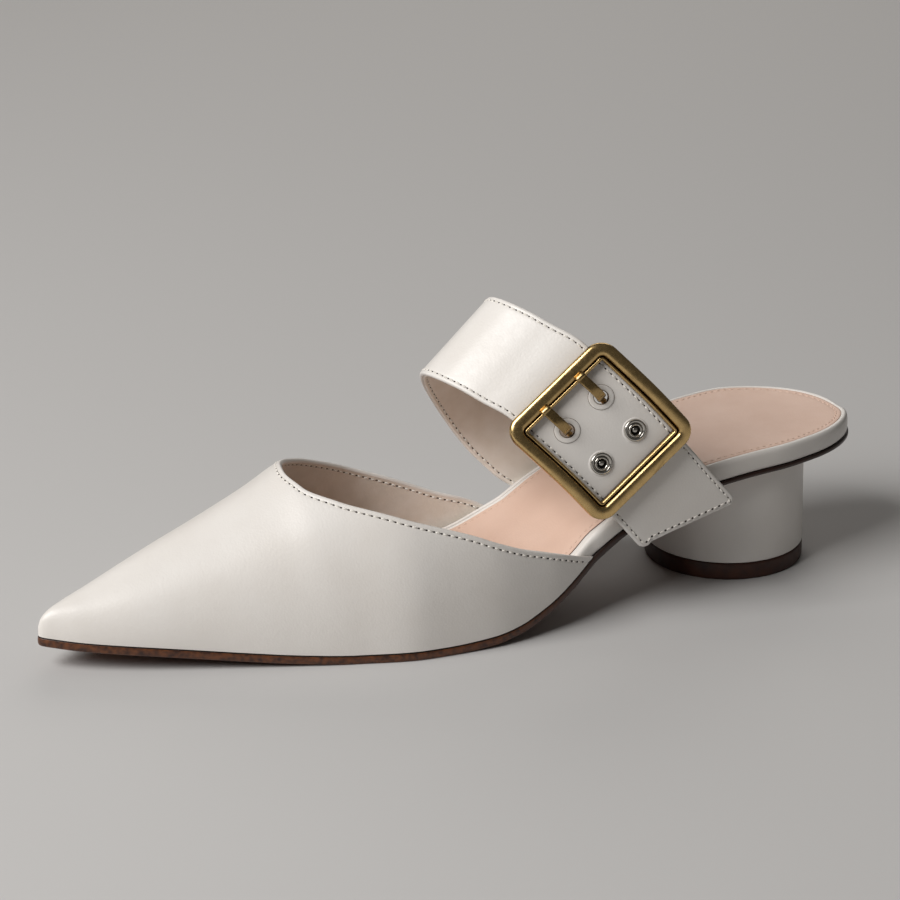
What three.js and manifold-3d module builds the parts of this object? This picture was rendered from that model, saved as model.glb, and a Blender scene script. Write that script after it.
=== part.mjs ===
// Leather mule with a pointed toe, a wide buckled instep strap and a round block heel.
// One left shoe, in millimetres: toe along -X, heel along +X, outer side of the foot along -Y.
// The origin is on the floor under the middle of the round heel, with +Z up.

import * as THREE from "three";
import { mergeVertices } from "three/addons/utils/BufferGeometryUtils.js";
import Module from "manifold-3d";

const wasm = await Module();
wasm.setup();

// Driving dimensions of the last
const shoeLength = 268.7;
const heelBackset = 41.6; // middle of the heel to the back of the seat
const ballWidth = 79;
const seatHeight = 37.6; // floor to the top of the outsole over the heel
const toeSpring = 7.4;
const instepHeight = 52; // sole to the ridge of the last where the strap sits
const heelRoundStart = 4; // ahead of this the seat is straight, behind it is round

// Soles and heel
const treadThickness = 2.6;
const seatThickness = 1.4; // the outsole is skived thin on the heel seat
const outsoleOverhang = 0.4;
const footbedThickness = 5.6;
const toeFootbedThickness = 3.4;
const rimRadius = 1.8;
const footbedInset = 0.3;
const footbedToeGap = 9;
const footbedBreak = 0.4; // the lower edge is broken by this much
const sockThickness = 1.0;
const sockInset = 2.0;
const sockToeGap = 13;
const seatDish = 1.0;
const heelRadius = 25.2;
const capHeight = 5.45;
const capChamfer = 0.5;

// Upper
const vampWall = 1.8;
const wallAtFeather = 1.2 * vampWall; // the wall measured level, where it leans in over the feather
const noseStart = 0.5; // the vamp's first section, behind the tip
const cavityStart = 7.5; // the hollow begins here, behind the tip
const ridgeOffset = 2; // the ridge lies this far to the inner side
const ridgeStraight = 40; // from the tip to where the ridge reaches that offset

// Strap and chape
const strapWidth = 31.5;
const strapThickness = 2.2;
const strapAt = 0.696; // the strap stands over the sole here, as a share of the length from the toe
const strapReach = 0.456 * ballWidth; // middle of the foot to the outer side of the loop
const strapCrest = 1.381 * instepHeight; // rise of the loop over the sole, square to its leaning width
const strapLean = 43; // degrees between the strap's width and the floor
const tailSpare = 1.5; // the loop's line runs on this far past the tail's rear corner
const tailSkew = 12; // how much longer the tail is along its rear edge
const tailCorner = 3;
const tuckDepth = 1.8;
const tuckLength = 6;
const chapeThickness = 1.6;
const chapeMargin = 1.2; // the chape is narrower than the strap by this on each side
const roomAhead = 3; // a foot's room in the footbed goes on this far below the foot

// Buckle, prongs and eyelets
const buckleFromTail = 37.6; // tail's front corner to the middle of the buckle
const frameAlong = 41.5;
const frameAcross = 41.3;
const buckleTurn = 3.5; // degrees that the buckle sits askew on the strap
const frameBar = 5.4;
const frameDepth = 3.2;
const frameChamfer = 0.5;
const frameCorner = 2.9; // corner radius at the middle of the bar
const tipOnBar = 0.4; // a prong's tip reaches this far over the bar that it rests on
const restShare = 0.7; // and lies this far up the bar, as a share of frameDepth
const barRadius = 1.1;
const barBend = 1.6;
const holeRowPitch = 14.6;
const holePitch = 14.2;
const prongRadius = 1.45;
const hookRadius = 0.9;
const prongHole = 4.6;
const embossedRing = 7;
const embossedRise = 0.5;
const eyeletFlange = 7;
const eyeletRise = 0.7;
const eyeletBarrel = 4.4;
const eyeletBore = 3.2;

// Room between pieces
const gap = 0.3;
const smallGap = 0.2;

const tipX = heelBackset - shoeLength;
const lean = THREE.MathUtils.degToRad(strapLean);
const widthAxis = new THREE.Vector3(Math.cos(lean), 0, Math.sin(lean));
const riseAxis = new THREE.Vector3(-Math.sin(lean), 0, Math.cos(lean));
const sideAxis = new THREE.Vector3(0, 1, 0);

// Turns rows of numbers into one list for each named column
function table(columns, rows) {
  const lists = {};
  columns.forEach((name, index) => {
    lists[name] = rows.map((row) => row[index]);
  });
  return lists;
}

// Smooth curve through (knots, values) that never overshoots a row
function curveThrough(knots, values) {
  const last = knots.length - 1;
  const rise = (i) => (values[i + 1] - values[i]) / (knots[i + 1] - knots[i]);
  const slope = knots.map((knot, i) => {
    if (i === 0) return rise(0);
    if (i === last) return rise(last - 1);
    const before = rise(i - 1);
    const after = rise(i);
    if (before * after <= 0) return 0;
    const spanBefore = knots[i] - knots[i - 1];
    const spanAfter = knots[i + 1] - knots[i];
    const heavy = 2 * spanAfter + spanBefore;
    const light = spanAfter + 2 * spanBefore;
    return (heavy + light) / (heavy / before + light / after);
  });
  return (at) => {
    const place = Math.min(Math.max(at, knots[0]), knots[last]);
    let i = 0;
    while (i < last - 1 && place > knots[i + 1]) i += 1;
    const span = knots[i + 1] - knots[i];
    const t = (place - knots[i]) / span;
    const blend = t * t * (3 - 2 * t);
    const lead = t * (1 - t) * (1 - t) * span;
    const trail = t * t * (t - 1) * span;
    return values[i] * (1 - blend) + values[i + 1] * blend + slope[i] * lead + slope[i + 1] * trail;
  };
}

const { lerp, smoothstep } = THREE.MathUtils;
const shareAt = (x) => (x - tipX) / shoeLength;
const xAt = (share) => tipX + shoeLength * share;

// Plan of the sole: "at" is a share of the length from the toe, the half widths shares of ballWidth.
// The square root of "at" is the knot, which rounds the tip.
const plan = table(["at", "outer", "inner"], [
  [0, 0, 0],
  [0.0125, 0.042, 0.053],
  [0.045, 0.106, 0.127],
  [0.101, 0.19, 0.215],
  [0.175, 0.278, 0.329],
  [0.25, 0.366, 0.418],
  [0.324, 0.447, 0.472],
  [0.399, 0.509, 0.475],
  [0.473, 0.516, 0.418],
  [0.548, 0.478, 0.348],
  [0.622, 0.405, 0.282],
  [0.696, 0.376, 0.263],
  [0.771, 0.366, 0.32],
  [0.845, 0.352, 0.372],
  [0.91, 0.325, 0.405],
  [1, 0.315, 0.405],
]);
const planKnots = plan.at.map(Math.sqrt);
const outerHalf = curveThrough(planKnots, plan.outer);
const innerHalf = curveThrough(planKnots, plan.inner);

// Half width of the last's plan at x, on the outer (-1) or inner (1) side
function halfWidth(x, side) {
  const share = Math.max(shareAt(x), 0);
  const width = ballWidth * (side < 0 ? outerHalf : innerHalf)(Math.sqrt(share));
  const intoHeel = (x - heelRoundStart) / (heelBackset - heelRoundStart);
  if (intoHeel <= 0) return width;
  return width * Math.sqrt(Math.max(1 - intoHeel * intoHeel, 0));
}

// Profile of the sole: "spring" is a share of toeSpring, "rise" of the climb from tread to seat
const profile = table(["at", "spring", "rise"], [
  [0, 1, 0],
  [0.045, 0.84, 0],
  [0.101, 0.68, 0],
  [0.212, 0.27, 0],
  [0.268, 0.09, 0],
  [0.324, 0, 0],
  [0.417, 0, 0],
  [0.473, 0, 0.022],
  [0.51, 0, 0.07],
  [0.548, 0, 0.185],
  [0.585, 0, 0.345],
  [0.622, 0, 0.55],
  [0.678, 0, 0.765],
  [0.734, 0, 0.9],
  [0.789, 0, 0.966],
  [0.845, 0, 1],
  [0.938, 0, 1.015],
  [1, 0, 1.03],
]);
const springAt = curveThrough(profile.at, profile.spring);
const riseAt = curveThrough(profile.at, profile.rise);

function soleTop(x) {
  const share = shareAt(x);
  const climb = seatHeight - treadThickness;
  return treadThickness + toeSpring * springAt(share) + climb * riseAt(share);
}

// The outsole thins over this share of the length, on its climb to the seat
const skived = [0.62, 0.74];
const soleThickness = (x) => lerp(treadThickness, seatThickness, smoothstep(shareAt(x), ...skived));

const soleUnderside = (x) => soleTop(x) - soleThickness(x);

// Ridge of the last over the sole, as shares of instepHeight
const ridge = table(["at", "height"], [
  [0, 0.055],
  [0.0035, 0.1],
  [0.0115, 0.145],
  [0.03, 0.197],
  [0.056, 0.256],
  [0.101, 0.366],
  [0.157, 0.508],
  [0.212, 0.652],
  [0.268, 0.814],
  [0.294, 0.898],
  [0.399, 1.12],
  [0.51, 1.29],
  [0.62, 1.42],
]);
const ridgeAt = curveThrough(ridge.at, ridge.height);

// Point of the last's surface at x; "across" runs from -1, the outer feather, over 0, the ridge, to 1
function lastPoint(x, across) {
  const side = across < 0 ? -1 : 1;
  const angle = (1 - Math.abs(across)) * Math.PI / 2;
  const reach = halfWidth(x, side) - side * ridgeOffset * smoothstep(x, tipX, tipX + ridgeStraight);
  const y = side * halfWidth(x, side) - side * reach * (1 - Math.cos(angle));
  const height = instepHeight * ridgeAt(shareAt(x));
  return new THREE.Vector3(x, y, soleTop(x) + gap + height * Math.sin(angle));
}

// A closed body from flat lists of points and faces; the faces may start out wound either way
function bodyFrom(points, faces) {
  const geometry = new THREE.BufferGeometry();
  const position = points.flatMap((p) => [p.x, p.y, p.z]);
  let volume = 0;
  faces.forEach(([a, b, c]) => {
    volume += points[a].dot(points[b].clone().cross(points[c]));
  });
  const wound = volume > 0 ? faces : faces.map(([a, b, c]) => [a, c, b]);
  geometry.setAttribute("position", new THREE.Float32BufferAttribute(position, 3));
  geometry.setIndex(wound.flat());
  return geometry;
}

// Two triangles for a four-sided face
const quad = (a, b, c, d) => [[a, b, c], [a, c, d]];

// A thick sheet between two grids of points of the same size, closed round its border
function sheetBody(upper, lower) {
  const rows = upper.length;
  const columns = upper[0].length;
  const points = [...upper.flat(), ...lower.flat()];
  const top = (i, j) => i * columns + j;
  const base = (i, j) => rows * columns + i * columns + j;
  const faces = [];
  for (let i = 0; i < rows - 1; i += 1) {
    for (let j = 0; j < columns - 1; j += 1) {
      faces.push(...quad(top(i, j), top(i + 1, j), top(i + 1, j + 1), top(i, j + 1)));
      faces.push(...quad(base(i, j), base(i, j + 1), base(i + 1, j + 1), base(i + 1, j)));
    }
    const end = columns - 1;
    faces.push(...quad(top(i, 0), base(i, 0), base(i + 1, 0), top(i + 1, 0)));
    faces.push(...quad(top(i, end), top(i + 1, end), base(i + 1, end), base(i, end)));
  }
  for (let j = 0; j < columns - 1; j += 1) {
    const end = rows - 1;
    faces.push(...quad(top(0, j), top(0, j + 1), base(0, j + 1), base(0, j)));
    faces.push(...quad(top(end, j), base(end, j), base(end, j + 1), top(end, j + 1)));
  }
  return bodyFrom(points, faces);
}

// A body that closes on itself along its rings, as a buckle frame or an eyelet does
function ringBody(rings) {
  const count = rings.length;
  const sides = rings[0].length;
  const at = (i, j) => (i % count) * sides + (j % sides);
  const faces = [];
  for (let i = 0; i < count; i += 1) {
    for (let j = 0; j < sides; j += 1) {
      faces.push(...quad(at(i, j), at(i + 1, j), at(i + 1, j + 1), at(i, j + 1)));
    }
  }
  return bodyFrom(rings.flat(), faces);
}

// A round rod along points that lie in the plane square to "normal"
function rodBody(path, normal, radiusAt, sides) {
  const rings = path.map((point, i) => {
    const ahead = path[Math.min(i + 1, path.length - 1)];
    const behind = path[Math.max(i - 1, 0)];
    const across = ahead.clone().sub(behind).normalize().cross(normal);
    const radius = radiusAt(i / (path.length - 1));
    return Array.from({ length: sides }, (_, j) => {
      const turn = (2 * Math.PI * j) / sides;
      return point.clone()
        .addScaledVector(normal, radius * Math.cos(turn))
        .addScaledVector(across, radius * Math.sin(turn));
    });
  });
  const points = [...rings.flat(), path[0].clone(), path[path.length - 1].clone()];
  const start = rings.length * sides;
  const faces = [];
  for (let j = 0; j < sides; j += 1) {
    const next = (j + 1) % sides;
    const lastRing = (rings.length - 1) * sides;
    for (let i = 0; i < rings.length - 1; i += 1) {
      const here = i * sides;
      faces.push(...quad(here + j, here + next, here + sides + next, here + sides + j));
    }
    faces.push([start, next, j]);
    faces.push([start + 1, lastRing + j, lastRing + next]);
  }
  return bodyFrom(points, faces);
}

function solidOf(geometry) {
  const bare = geometry.clone();
  bare.deleteAttribute("normal");
  bare.deleteAttribute("uv");
  const merged = mergeVertices(bare, 1e-4);
  return new wasm.Manifold(new wasm.Mesh({
    numProp: 3,
    vertProperties: merged.attributes.position.array,
    triVerts: new Uint32Array(merged.index.array),
  }));
}

function geometryOf(solid) {
  const mesh = solid.getMesh();
  const geometry = new THREE.BufferGeometry();
  geometry.setAttribute("position", new THREE.BufferAttribute(mesh.vertProperties, 3));
  geometry.setIndex(new THREE.BufferAttribute(mesh.triVerts, 1));
  return geometry;
}

// Topline of the vamp: for each "across" of the last, where the leather ends along the shoe
const topline = table(["across", "at"], [
  [-1, 0.612],
  [-0.87, 0.559],
  [-0.69, 0.471],
  [-0.53, 0.386],
  [-0.37, 0.327],
  [-0.2, 0.297],
  [-0.03, 0.29],
  [0.13, 0.296],
  [0.3, 0.314],
  [0.45, 0.347],
  [0.6, 0.399],
  [0.79, 0.498],
  [0.92, 0.56],
  [1, 0.588],
]);
const toplineAt = curveThrough(topline.across, topline.at);

// How far the vamp reaches back along the feather on each side
const vampEnd = (side) => xAt(toplineAt(side));

// Behind the vamp's end the footbed comes out from its wall to the edge of the sole, over this stretch
const comingOut = [0.5, 4];

// Sections of the sole from toe to heel, closest at both ends, with one where the footbed comes out
const sectionCount = 46;
const evenSections = Array.from({ length: sectionCount + 1 }, (_, i) => {
  return xAt(0.5 - 0.5 * Math.cos((Math.PI * (i + 1)) / (sectionCount + 2)));
});
const endSections = [-1, 1].flatMap((side) => comingOut.map((past) => vampEnd(side) + past));
const sections = [
  ...evenSections.filter((x) => endSections.every((end) => Math.abs(x - end) > 1)),
  ...endSections,
].sort((a, b) => a - b);

// Columns across a flat sheet, from the outer edge to the inner one
const acrossShares = [-1, -0.45, 0.45, 1];

function outsole() {
  const top = sections.map((x) => acrossShares.map((share) => {
    const y = share * (halfWidth(x, share) + outsoleOverhang);
    return new THREE.Vector3(x, y, soleTop(x));
  }));
  const underside = sections.map((x) => acrossShares.map((share) => {
    const y = share * (halfWidth(x, share) + outsoleOverhang * 0.5);
    return new THREE.Vector3(x, y, soleUnderside(x));
  }));
  return sheetBody(top, underside);
}

// Outer and inner skin of the vamp at a share of the way from nose to topline
function vampSkins(share, across) {
  const first = tipX + noseStart;
  const x = lerp(first, xAt(toplineAt(across)), share);
  const outer = lastPoint(x, across);
  const step = 0.2;
  const side = Math.min(Math.max(across, -0.97), 0.97);
  const along = lastPoint(x + step, across).sub(lastPoint(x - step / 2, across));
  const over = lastPoint(x, side + 0.02).sub(lastPoint(x, side - 0.02));
  const inward = over.cross(along).normalize();
  const inner = outer.clone().addScaledVector(inward, vampWall);
  if (Math.abs(across) === 1) inner.z = outer.z;
  return { outer, inner };
}

// The pointed front of the upper: one shell, open behind at the topline and below at the feather
function vamp() {
  const rowCount = 24;
  const columnCount = 28;
  const rows = [];
  for (let i = 0; i <= rowCount; i += 1) {
    rows.push(Array.from({ length: columnCount + 1 }, (_, j) => {
      return vampSkins((i / rowCount) ** 1.5, -1 + (2 * j) / columnCount);
    }));
  }
  const firstInner = rows.findIndex((row) => row[0].outer.x > tipX + cavityStart);
  const width = columnCount + 1;
  const points = rows.flatMap((row) => row.map((skins) => skins.outer));
  const innerStart = points.length;
  rows.slice(firstInner).forEach((row) => points.push(...row.map((skins) => skins.inner)));
  const out = (i, j) => i * width + j;
  const inn = (i, j) => innerStart + (i - firstInner) * width + j;
  const end = columnCount;
  const faces = [];
  for (let i = 0; i < rowCount; i += 1) {
    for (let j = 0; j < columnCount; j += 1) {
      faces.push(...quad(out(i, j), out(i, j + 1), out(i + 1, j + 1), out(i + 1, j)));
      if (i < firstInner) continue;
      faces.push(...quad(inn(i, j), inn(i + 1, j), inn(i + 1, j + 1), inn(i, j + 1)));
    }
    if (i < firstInner) continue;
    faces.push(...quad(out(i, 0), out(i + 1, 0), inn(i + 1, 0), inn(i, 0)));
    faces.push(...quad(out(i, end), inn(i, end), inn(i + 1, end), out(i + 1, end)));
  }
  const last = rowCount;
  for (let j = 0; j < columnCount; j += 1) {
    faces.push(...quad(out(last, j), out(last, j + 1), inn(last, j + 1), inn(last, j)));
  }
  // The nose and the front of the hollow are closed by strips from side to side
  for (let j = 0; j < columnCount / 2; j += 1) {
    const back = columnCount - j;
    const row = firstInner;
    faces.push(...quad(out(0, j), out(0, back), out(0, back - 1), out(0, j + 1)));
    faces.push(...quad(inn(row, j), inn(row, j + 1), inn(row, back - 1), inn(row, back)));
  }
  // The solid toe's underside
  for (let i = 0; i < firstInner - 1; i += 1) {
    faces.push(...quad(out(i, 0), out(i + 1, 0), out(i + 1, end), out(i, end)));
  }
  const before = firstInner - 1;
  const fan = [
    out(before, 0), out(firstInner, 0), inn(firstInner, 0),
    inn(firstInner, end), out(firstInner, end), out(before, end),
  ];
  for (let k = 1; k < fan.length - 1; k += 1) faces.push([fan[0], fan[k], fan[k + 1]]);
  return bodyFrom(points, faces.filter(([a, b, c]) => {
    const key = (n) => `${points[n].x},${points[n].y},${points[n].z}`;
    return key(a) !== key(b) && key(b) !== key(c) && key(a) !== key(c);
  }));
}

// The footbed thickens from the toe to the ball, over this share of the length
const thickening = [0.05, 0.4];
function footbedHeight(x) {
  return lerp(toeFootbedThickness, footbedThickness, smoothstep(shareAt(x), ...thickening));
}

// Half width of the footbed: inside the vamp's wall in front, almost flush with the sole behind
function footbedHalf(x, side) {
  const height = instepHeight * ridgeAt(shareAt(x));
  const lift = Math.min((footbedHeight(x) + gap) / height, 0.99);
  const flush = halfWidth(x, side) - footbedInset;
  const leanIn = halfWidth(x, side) * (1 - Math.sqrt(1 - lift * lift));
  const inside = halfWidth(x, side) - wallAtFeather - gap - leanIn;
  const [from, to] = comingOut;
  return lerp(inside, flush, smoothstep(x, vampEnd(side) + from, vampEnd(side) + to));
}

// The hollow of the toe lets the footbed begin here
const footbedSections = sections.filter((x) => x > tipX + footbedToeGap);

// The seat is hollowed a little for the heel of the foot, deepening over this share of the length
const dishing = [0.734, 0.864];
function dish(x, share) {
  return seatDish * smoothstep(shareAt(x), ...dishing) * (1 - share * share);
}

function footbed(rooms) {
  const turns = [0, 1, 2].map((step) => (step * Math.PI) / 4);
  const uppers = [];
  const lowers = [];
  footbedSections.forEach((x) => {
    const base = soleTop(x) + gap;
    const top = base + footbedHeight(x);
    const edge = (side) => {
      const half = footbedHalf(x, side);
      const round = Math.min(rimRadius, half * 0.45);
      const arc = turns.map((turn) => new THREE.Vector3(
        x,
        side * (half - round + round * Math.cos(turn)),
        top - round + round * Math.sin(turn),
      ));
      return [new THREE.Vector3(x, side * half, base + footbedBreak), ...arc];
    };
    const middle = [-0.5, 0, 0.5].map((share) => {
      const y = share * (footbedHalf(x, share) - rimRadius);
      return new THREE.Vector3(x, y, top - dish(x, share));
    });
    const upper = [...edge(-1), ...middle, ...edge(1).reverse()];
    const last = upper.length - 1;
    uppers.push(upper);
    lowers.push(upper.map((_, i) => {
      const share = -1 + (2 * i) / last;
      return new THREE.Vector3(x, share * (footbedHalf(x, share) - footbedBreak), base);
    }));
  });
  let solid = solidOf(sheetBody(uppers, lowers));
  rooms.forEach((room) => {
    solid = solid.subtract(solidOf(room));
  });
  return geometryOf(solid);
}

// The sock lies on the footbed, a little inside its edge all round
function sock() {
  const back = heelBackset - sockInset;
  const sockSections = sections.filter((x) => x > tipX + sockToeGap && x < back);
  const rounding = (x, end) => {
    const intoHeel = (x - heelRoundStart) / (end - heelRoundStart);
    return intoHeel > 0 ? Math.sqrt(1 - intoHeel * intoHeel) : 1;
  };
  const half = (x, side) => {
    if (x < heelRoundStart) return footbedHalf(x, side) - sockInset;
    const unrounded = halfWidth(x, side) / rounding(x, heelBackset);
    return (unrounded - footbedInset - sockInset) * rounding(x, back);
  };
  const grid = (lift) => sockSections.map((x) => [-1, -0.5, 0, 0.5, 1].map((share) => {
    const z = soleTop(x) + gap + footbedHeight(x) + gap - dish(x, share) + lift;
    return new THREE.Vector3(x, share * half(x, share), z);
  }));
  return sheetBody(grid(sockThickness), grid(0));
}

// Loop of the strap's middle, from the inner feather over the instep to the tail's end.
// "across" is a share of strapReach, "up" of strapCrest, "slide" of strapWidth along the leaning width,
// both from the sole's top at strapAt.
const strapLoop = table(["across", "up", "slide"], [
  [0.662, -0.188, -0.673],
  [0.662, -0.001, -0.683],
  [0.669, 0.134, -0.723],
  [0.728, 0.241, -0.763],
  [0.794, 0.352, -0.763],
  [0.817, 0.462, -0.743],
  [0.794, 0.574, -0.708],
  [0.706, 0.711, -0.663],
  [0.528, 0.863, -0.613],
  [0.319, 0.959, -0.573],
  [0.111, 1, -0.543],
  [-0.083, 0.985, -0.498],
  [-0.264, 0.932, -0.443],
  [-0.403, 0.871, -0.403],
  [-0.611, 0.761, -0.338],
  [-0.831, 0.498, -0.333],
  [-0.969, 0.173, -0.363],
  [-0.997, -0.035, -0.393],
  [-1, -0.222, -0.408],
]);
const strapOrigin = new THREE.Vector3(xAt(strapAt), 0, soleTop(xAt(strapAt)));
const loopPoints = strapLoop.across.map((share, i) => {
  return new THREE.Vector3(0, share * strapReach, strapLoop.up[i] * strapCrest);
});
const loopCurve = new THREE.CatmullRomCurve3(loopPoints, false, "centripetal");
loopCurve.arcLengthDivisions = 1200;
const loopLength = loopCurve.getLength();
const slideKnots = strapLoop.across.map((_, i) => i / (strapLoop.across.length - 1));
const slideAt = curveThrough(slideKnots, strapLoop.slide);

// Point of the strap: "run" along the loop, "over" its width from the front edge, "out" from its middle
function strapPoint(run, over, out) {
  const share = Math.min(Math.max(run / loopLength, 0), 1);
  const flat = loopCurve.getPointAt(share);
  const heading = loopCurve.getTangentAt(share);
  const slide = slideAt(loopCurve.getUtoTmapping(share)) * strapWidth;
  return strapOrigin.clone()
    .addScaledVector(sideAxis, flat.y + heading.z * out)
    .addScaledVector(riseAxis, flat.z - heading.y * out)
    .addScaledVector(widthAxis, slide + over);
}

// Where the middle of a strip comes down to the sole's top, searched along its first part
function runAtSole(pointAt, over, searched) {
  let near = 0;
  let far = searched;
  for (let i = 0; i < 30; i += 1) {
    const middle = (near + far) / 2;
    const point = pointAt(middle, over, 0);
    if (point.z < soleTop(point.x) + 2 * gap) near = middle;
    else far = middle;
  }
  return far;
}

const strapFoot = (over) => runAtSole(strapPoint, over, loopLength * 0.3);

// The tail's end is cut on a slant, with rounded corners
const tailFrontRun = loopLength - tailSkew - tailSpare;
function tailEnd(over) {
  const share = over / strapWidth;
  const fromFront = Math.max(tailCorner - over, 0);
  const fromRear = Math.max(tailCorner - (strapWidth - over), 0);
  const corner = Math.max(fromFront, fromRear);
  const cut = tailCorner - Math.sqrt(Math.max(tailCorner ** 2 - corner ** 2, 0));
  return tailFrontRun + tailSkew * share - cut;
}

const buckleRun = tailFrontRun - buckleFromTail;
const face = strapThickness / 2;

// Pulls a strip's foot in under the edge of the footbed
function tuck(distance) {
  return -tuckDepth * (1 - smoothstep(distance, 0, tuckLength));
}

// The strap's strip, from its tucked foot to the slanting end of the tail
function strapStrip() {
  const steps = 36;
  const shares = [0, 0.04, 0.12, 0.5, 0.88, 0.96, 1];
  const grid = (out) => Array.from({ length: steps + 1 }, (_, i) => shares.map((share) => {
    const over = share * strapWidth;
    const start = strapFoot(over);
    const run = lerp(start, tailEnd(over), i / steps);
    return strapPoint(run, over, out + tuck(run - start));
  }));
  return sheetBody(grid(face), grid(-face));
}

const holeOvers = [-holePitch / 2, holePitch / 2];
const prongRow = -holeRowPitch / 2;
const eyeletRow = holeRowPitch / 2;

// Point near the buckle: "along" towards the tail and "over" to the rear, both from its middle
const askew = Math.sin(THREE.MathUtils.degToRad(buckleTurn));
function atBuckle(along, over, out) {
  return strapPoint(buckleRun + along + askew * over, strapWidth / 2 + over, out);
}

// A round plug across the strap's thickness, for holes and raised rings
function strapPlug(along, over, radius, low, high) {
  const sides = 18;
  const rings = [low, high].map((out) => Array.from({ length: sides }, (_, j) => {
    const turn = (2 * Math.PI * j) / sides;
    return atBuckle(along + radius * Math.cos(turn), over + radius * Math.sin(turn), out);
  }));
  const points = [...rings.flat(), atBuckle(along, over, low), atBuckle(along, over, high)];
  const faces = [];
  for (let j = 0; j < sides; j += 1) {
    const next = (j + 1) % sides;
    faces.push(...quad(j, next, sides + next, sides + j));
    faces.push([2 * sides, next, j]);
    faces.push([2 * sides + 1, sides + j, sides + next]);
  }
  return bodyFrom(points, faces);
}

function strap() {
  let solid = solidOf(strapStrip());
  const through = 3 * face;
  const bore = eyeletBarrel / 2 + gap;
  holeOvers.forEach((over) => {
    const ring = strapPlug(prongRow, over, embossedRing / 2, 0, face + embossedRise);
    solid = solid.add(solidOf(ring));
    solid = solid.subtract(solidOf(strapPlug(prongRow, over, prongHole / 2, -through, through)));
    solid = solid.subtract(solidOf(strapPlug(eyeletRow, over, bore, -through, through)));
  });
  return geometryOf(solid);
}

function eyelet(over) {
  const flange = eyeletFlange / 2;
  const bore = eyeletBore / 2;
  const barrel = eyeletBarrel / 2;
  const seat = face + smallGap;
  const section = [
    [bore, -face],
    [bore, seat + eyeletRise * 0.6],
    [bore + 0.4, seat + eyeletRise],
    [flange - 0.5, seat + eyeletRise],
    [flange, seat],
    [barrel, seat],
    [barrel, -face],
  ];
  const sides = 20;
  const rings = Array.from({ length: sides }, (_, i) => {
    const turn = (2 * Math.PI * i) / sides;
    return section.map(([radius, out]) => {
      return atBuckle(eyeletRow + radius * Math.cos(turn), over + radius * Math.sin(turn), out);
    });
  });
  return ringBody(rings);
}

// The buckle's pivot bar lies under the strap, low enough for the prongs' hooks
const barOut = -(face + gap + 2 * hookRadius + smallGap + barRadius);
const frameLow = face + gap;
const frameHalfAlong = (frameAlong - frameBar) / 2;
const frameHalfOver = (frameAcross - frameBar) / 2;
const alongBuckle = atBuckle(1, 0, barOut).sub(atBuckle(-1, 0, barOut)).normalize();

// Middle line of the frame: straight bars joined by round corners, each place with its outward turn
function frameLine() {
  const cornerSteps = 5;
  const line = [];
  [[1, 1], [-1, 1], [-1, -1], [1, -1]].forEach(([signAlong, signOver], quarter) => {
    for (let step = 0; step <= cornerSteps; step += 1) {
      const turn = (Math.PI / 2) * (quarter + step / cornerSteps);
      line.push({
        along: signAlong * (frameHalfAlong - frameCorner) + frameCorner * Math.cos(turn),
        over: signOver * (frameHalfOver - frameCorner) + frameCorner * Math.sin(turn),
        turn,
      });
    }
  });
  return line.flatMap((place, i) => {
    const next = line[(i + 1) % line.length];
    const span = Math.hypot(next.along - place.along, next.over - place.over);
    if (span < frameCorner) return [place];
    const between = [1 / 3, 2 / 3].map((part) => ({
      along: lerp(place.along, next.along, part),
      over: lerp(place.over, next.over, part),
      turn: place.turn,
    }));
    return [place, ...between];
  });
}

// Cast square frame with round corners, and the bent bar across its middle
function buckle() {
  const half = frameBar / 2;
  const section = [
    [-half, frameChamfer],
    [-half + frameChamfer, 0],
    [half - frameChamfer, 0],
    [half, frameChamfer],
    [half, frameDepth * 0.55],
    [half * 0.55, frameDepth * 0.93],
    [-half * 0.55, frameDepth * 0.93],
    [-half, frameDepth * 0.55],
  ];
  const rings = frameLine().map(({ along, over, turn }) => section.map(([side, lift]) => {
    return atBuckle(along + side * Math.cos(turn), over + side * Math.sin(turn), frameLow + lift);
  }));
  const post = frameHalfOver + half - barRadius - 0.1;
  const staple = [
    [-post, frameLow + frameDepth / 2],
    [-post, barOut + barBend],
    [-post + barBend * 0.3, barOut + barBend * 0.3],
    [-post + barBend, barOut],
    [post - barBend, barOut],
    [post - barBend * 0.3, barOut + barBend * 0.3],
    [post, barOut + barBend],
    [post, frameLow + frameDepth / 2],
  ].map(([over, out]) => atBuckle(0, over, out));
  const bar = rodBody(staple, alongBuckle, () => barRadius, 10);
  return geometryOf(solidOf(ringBody(rings)).add(solidOf(bar)));
}

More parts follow.
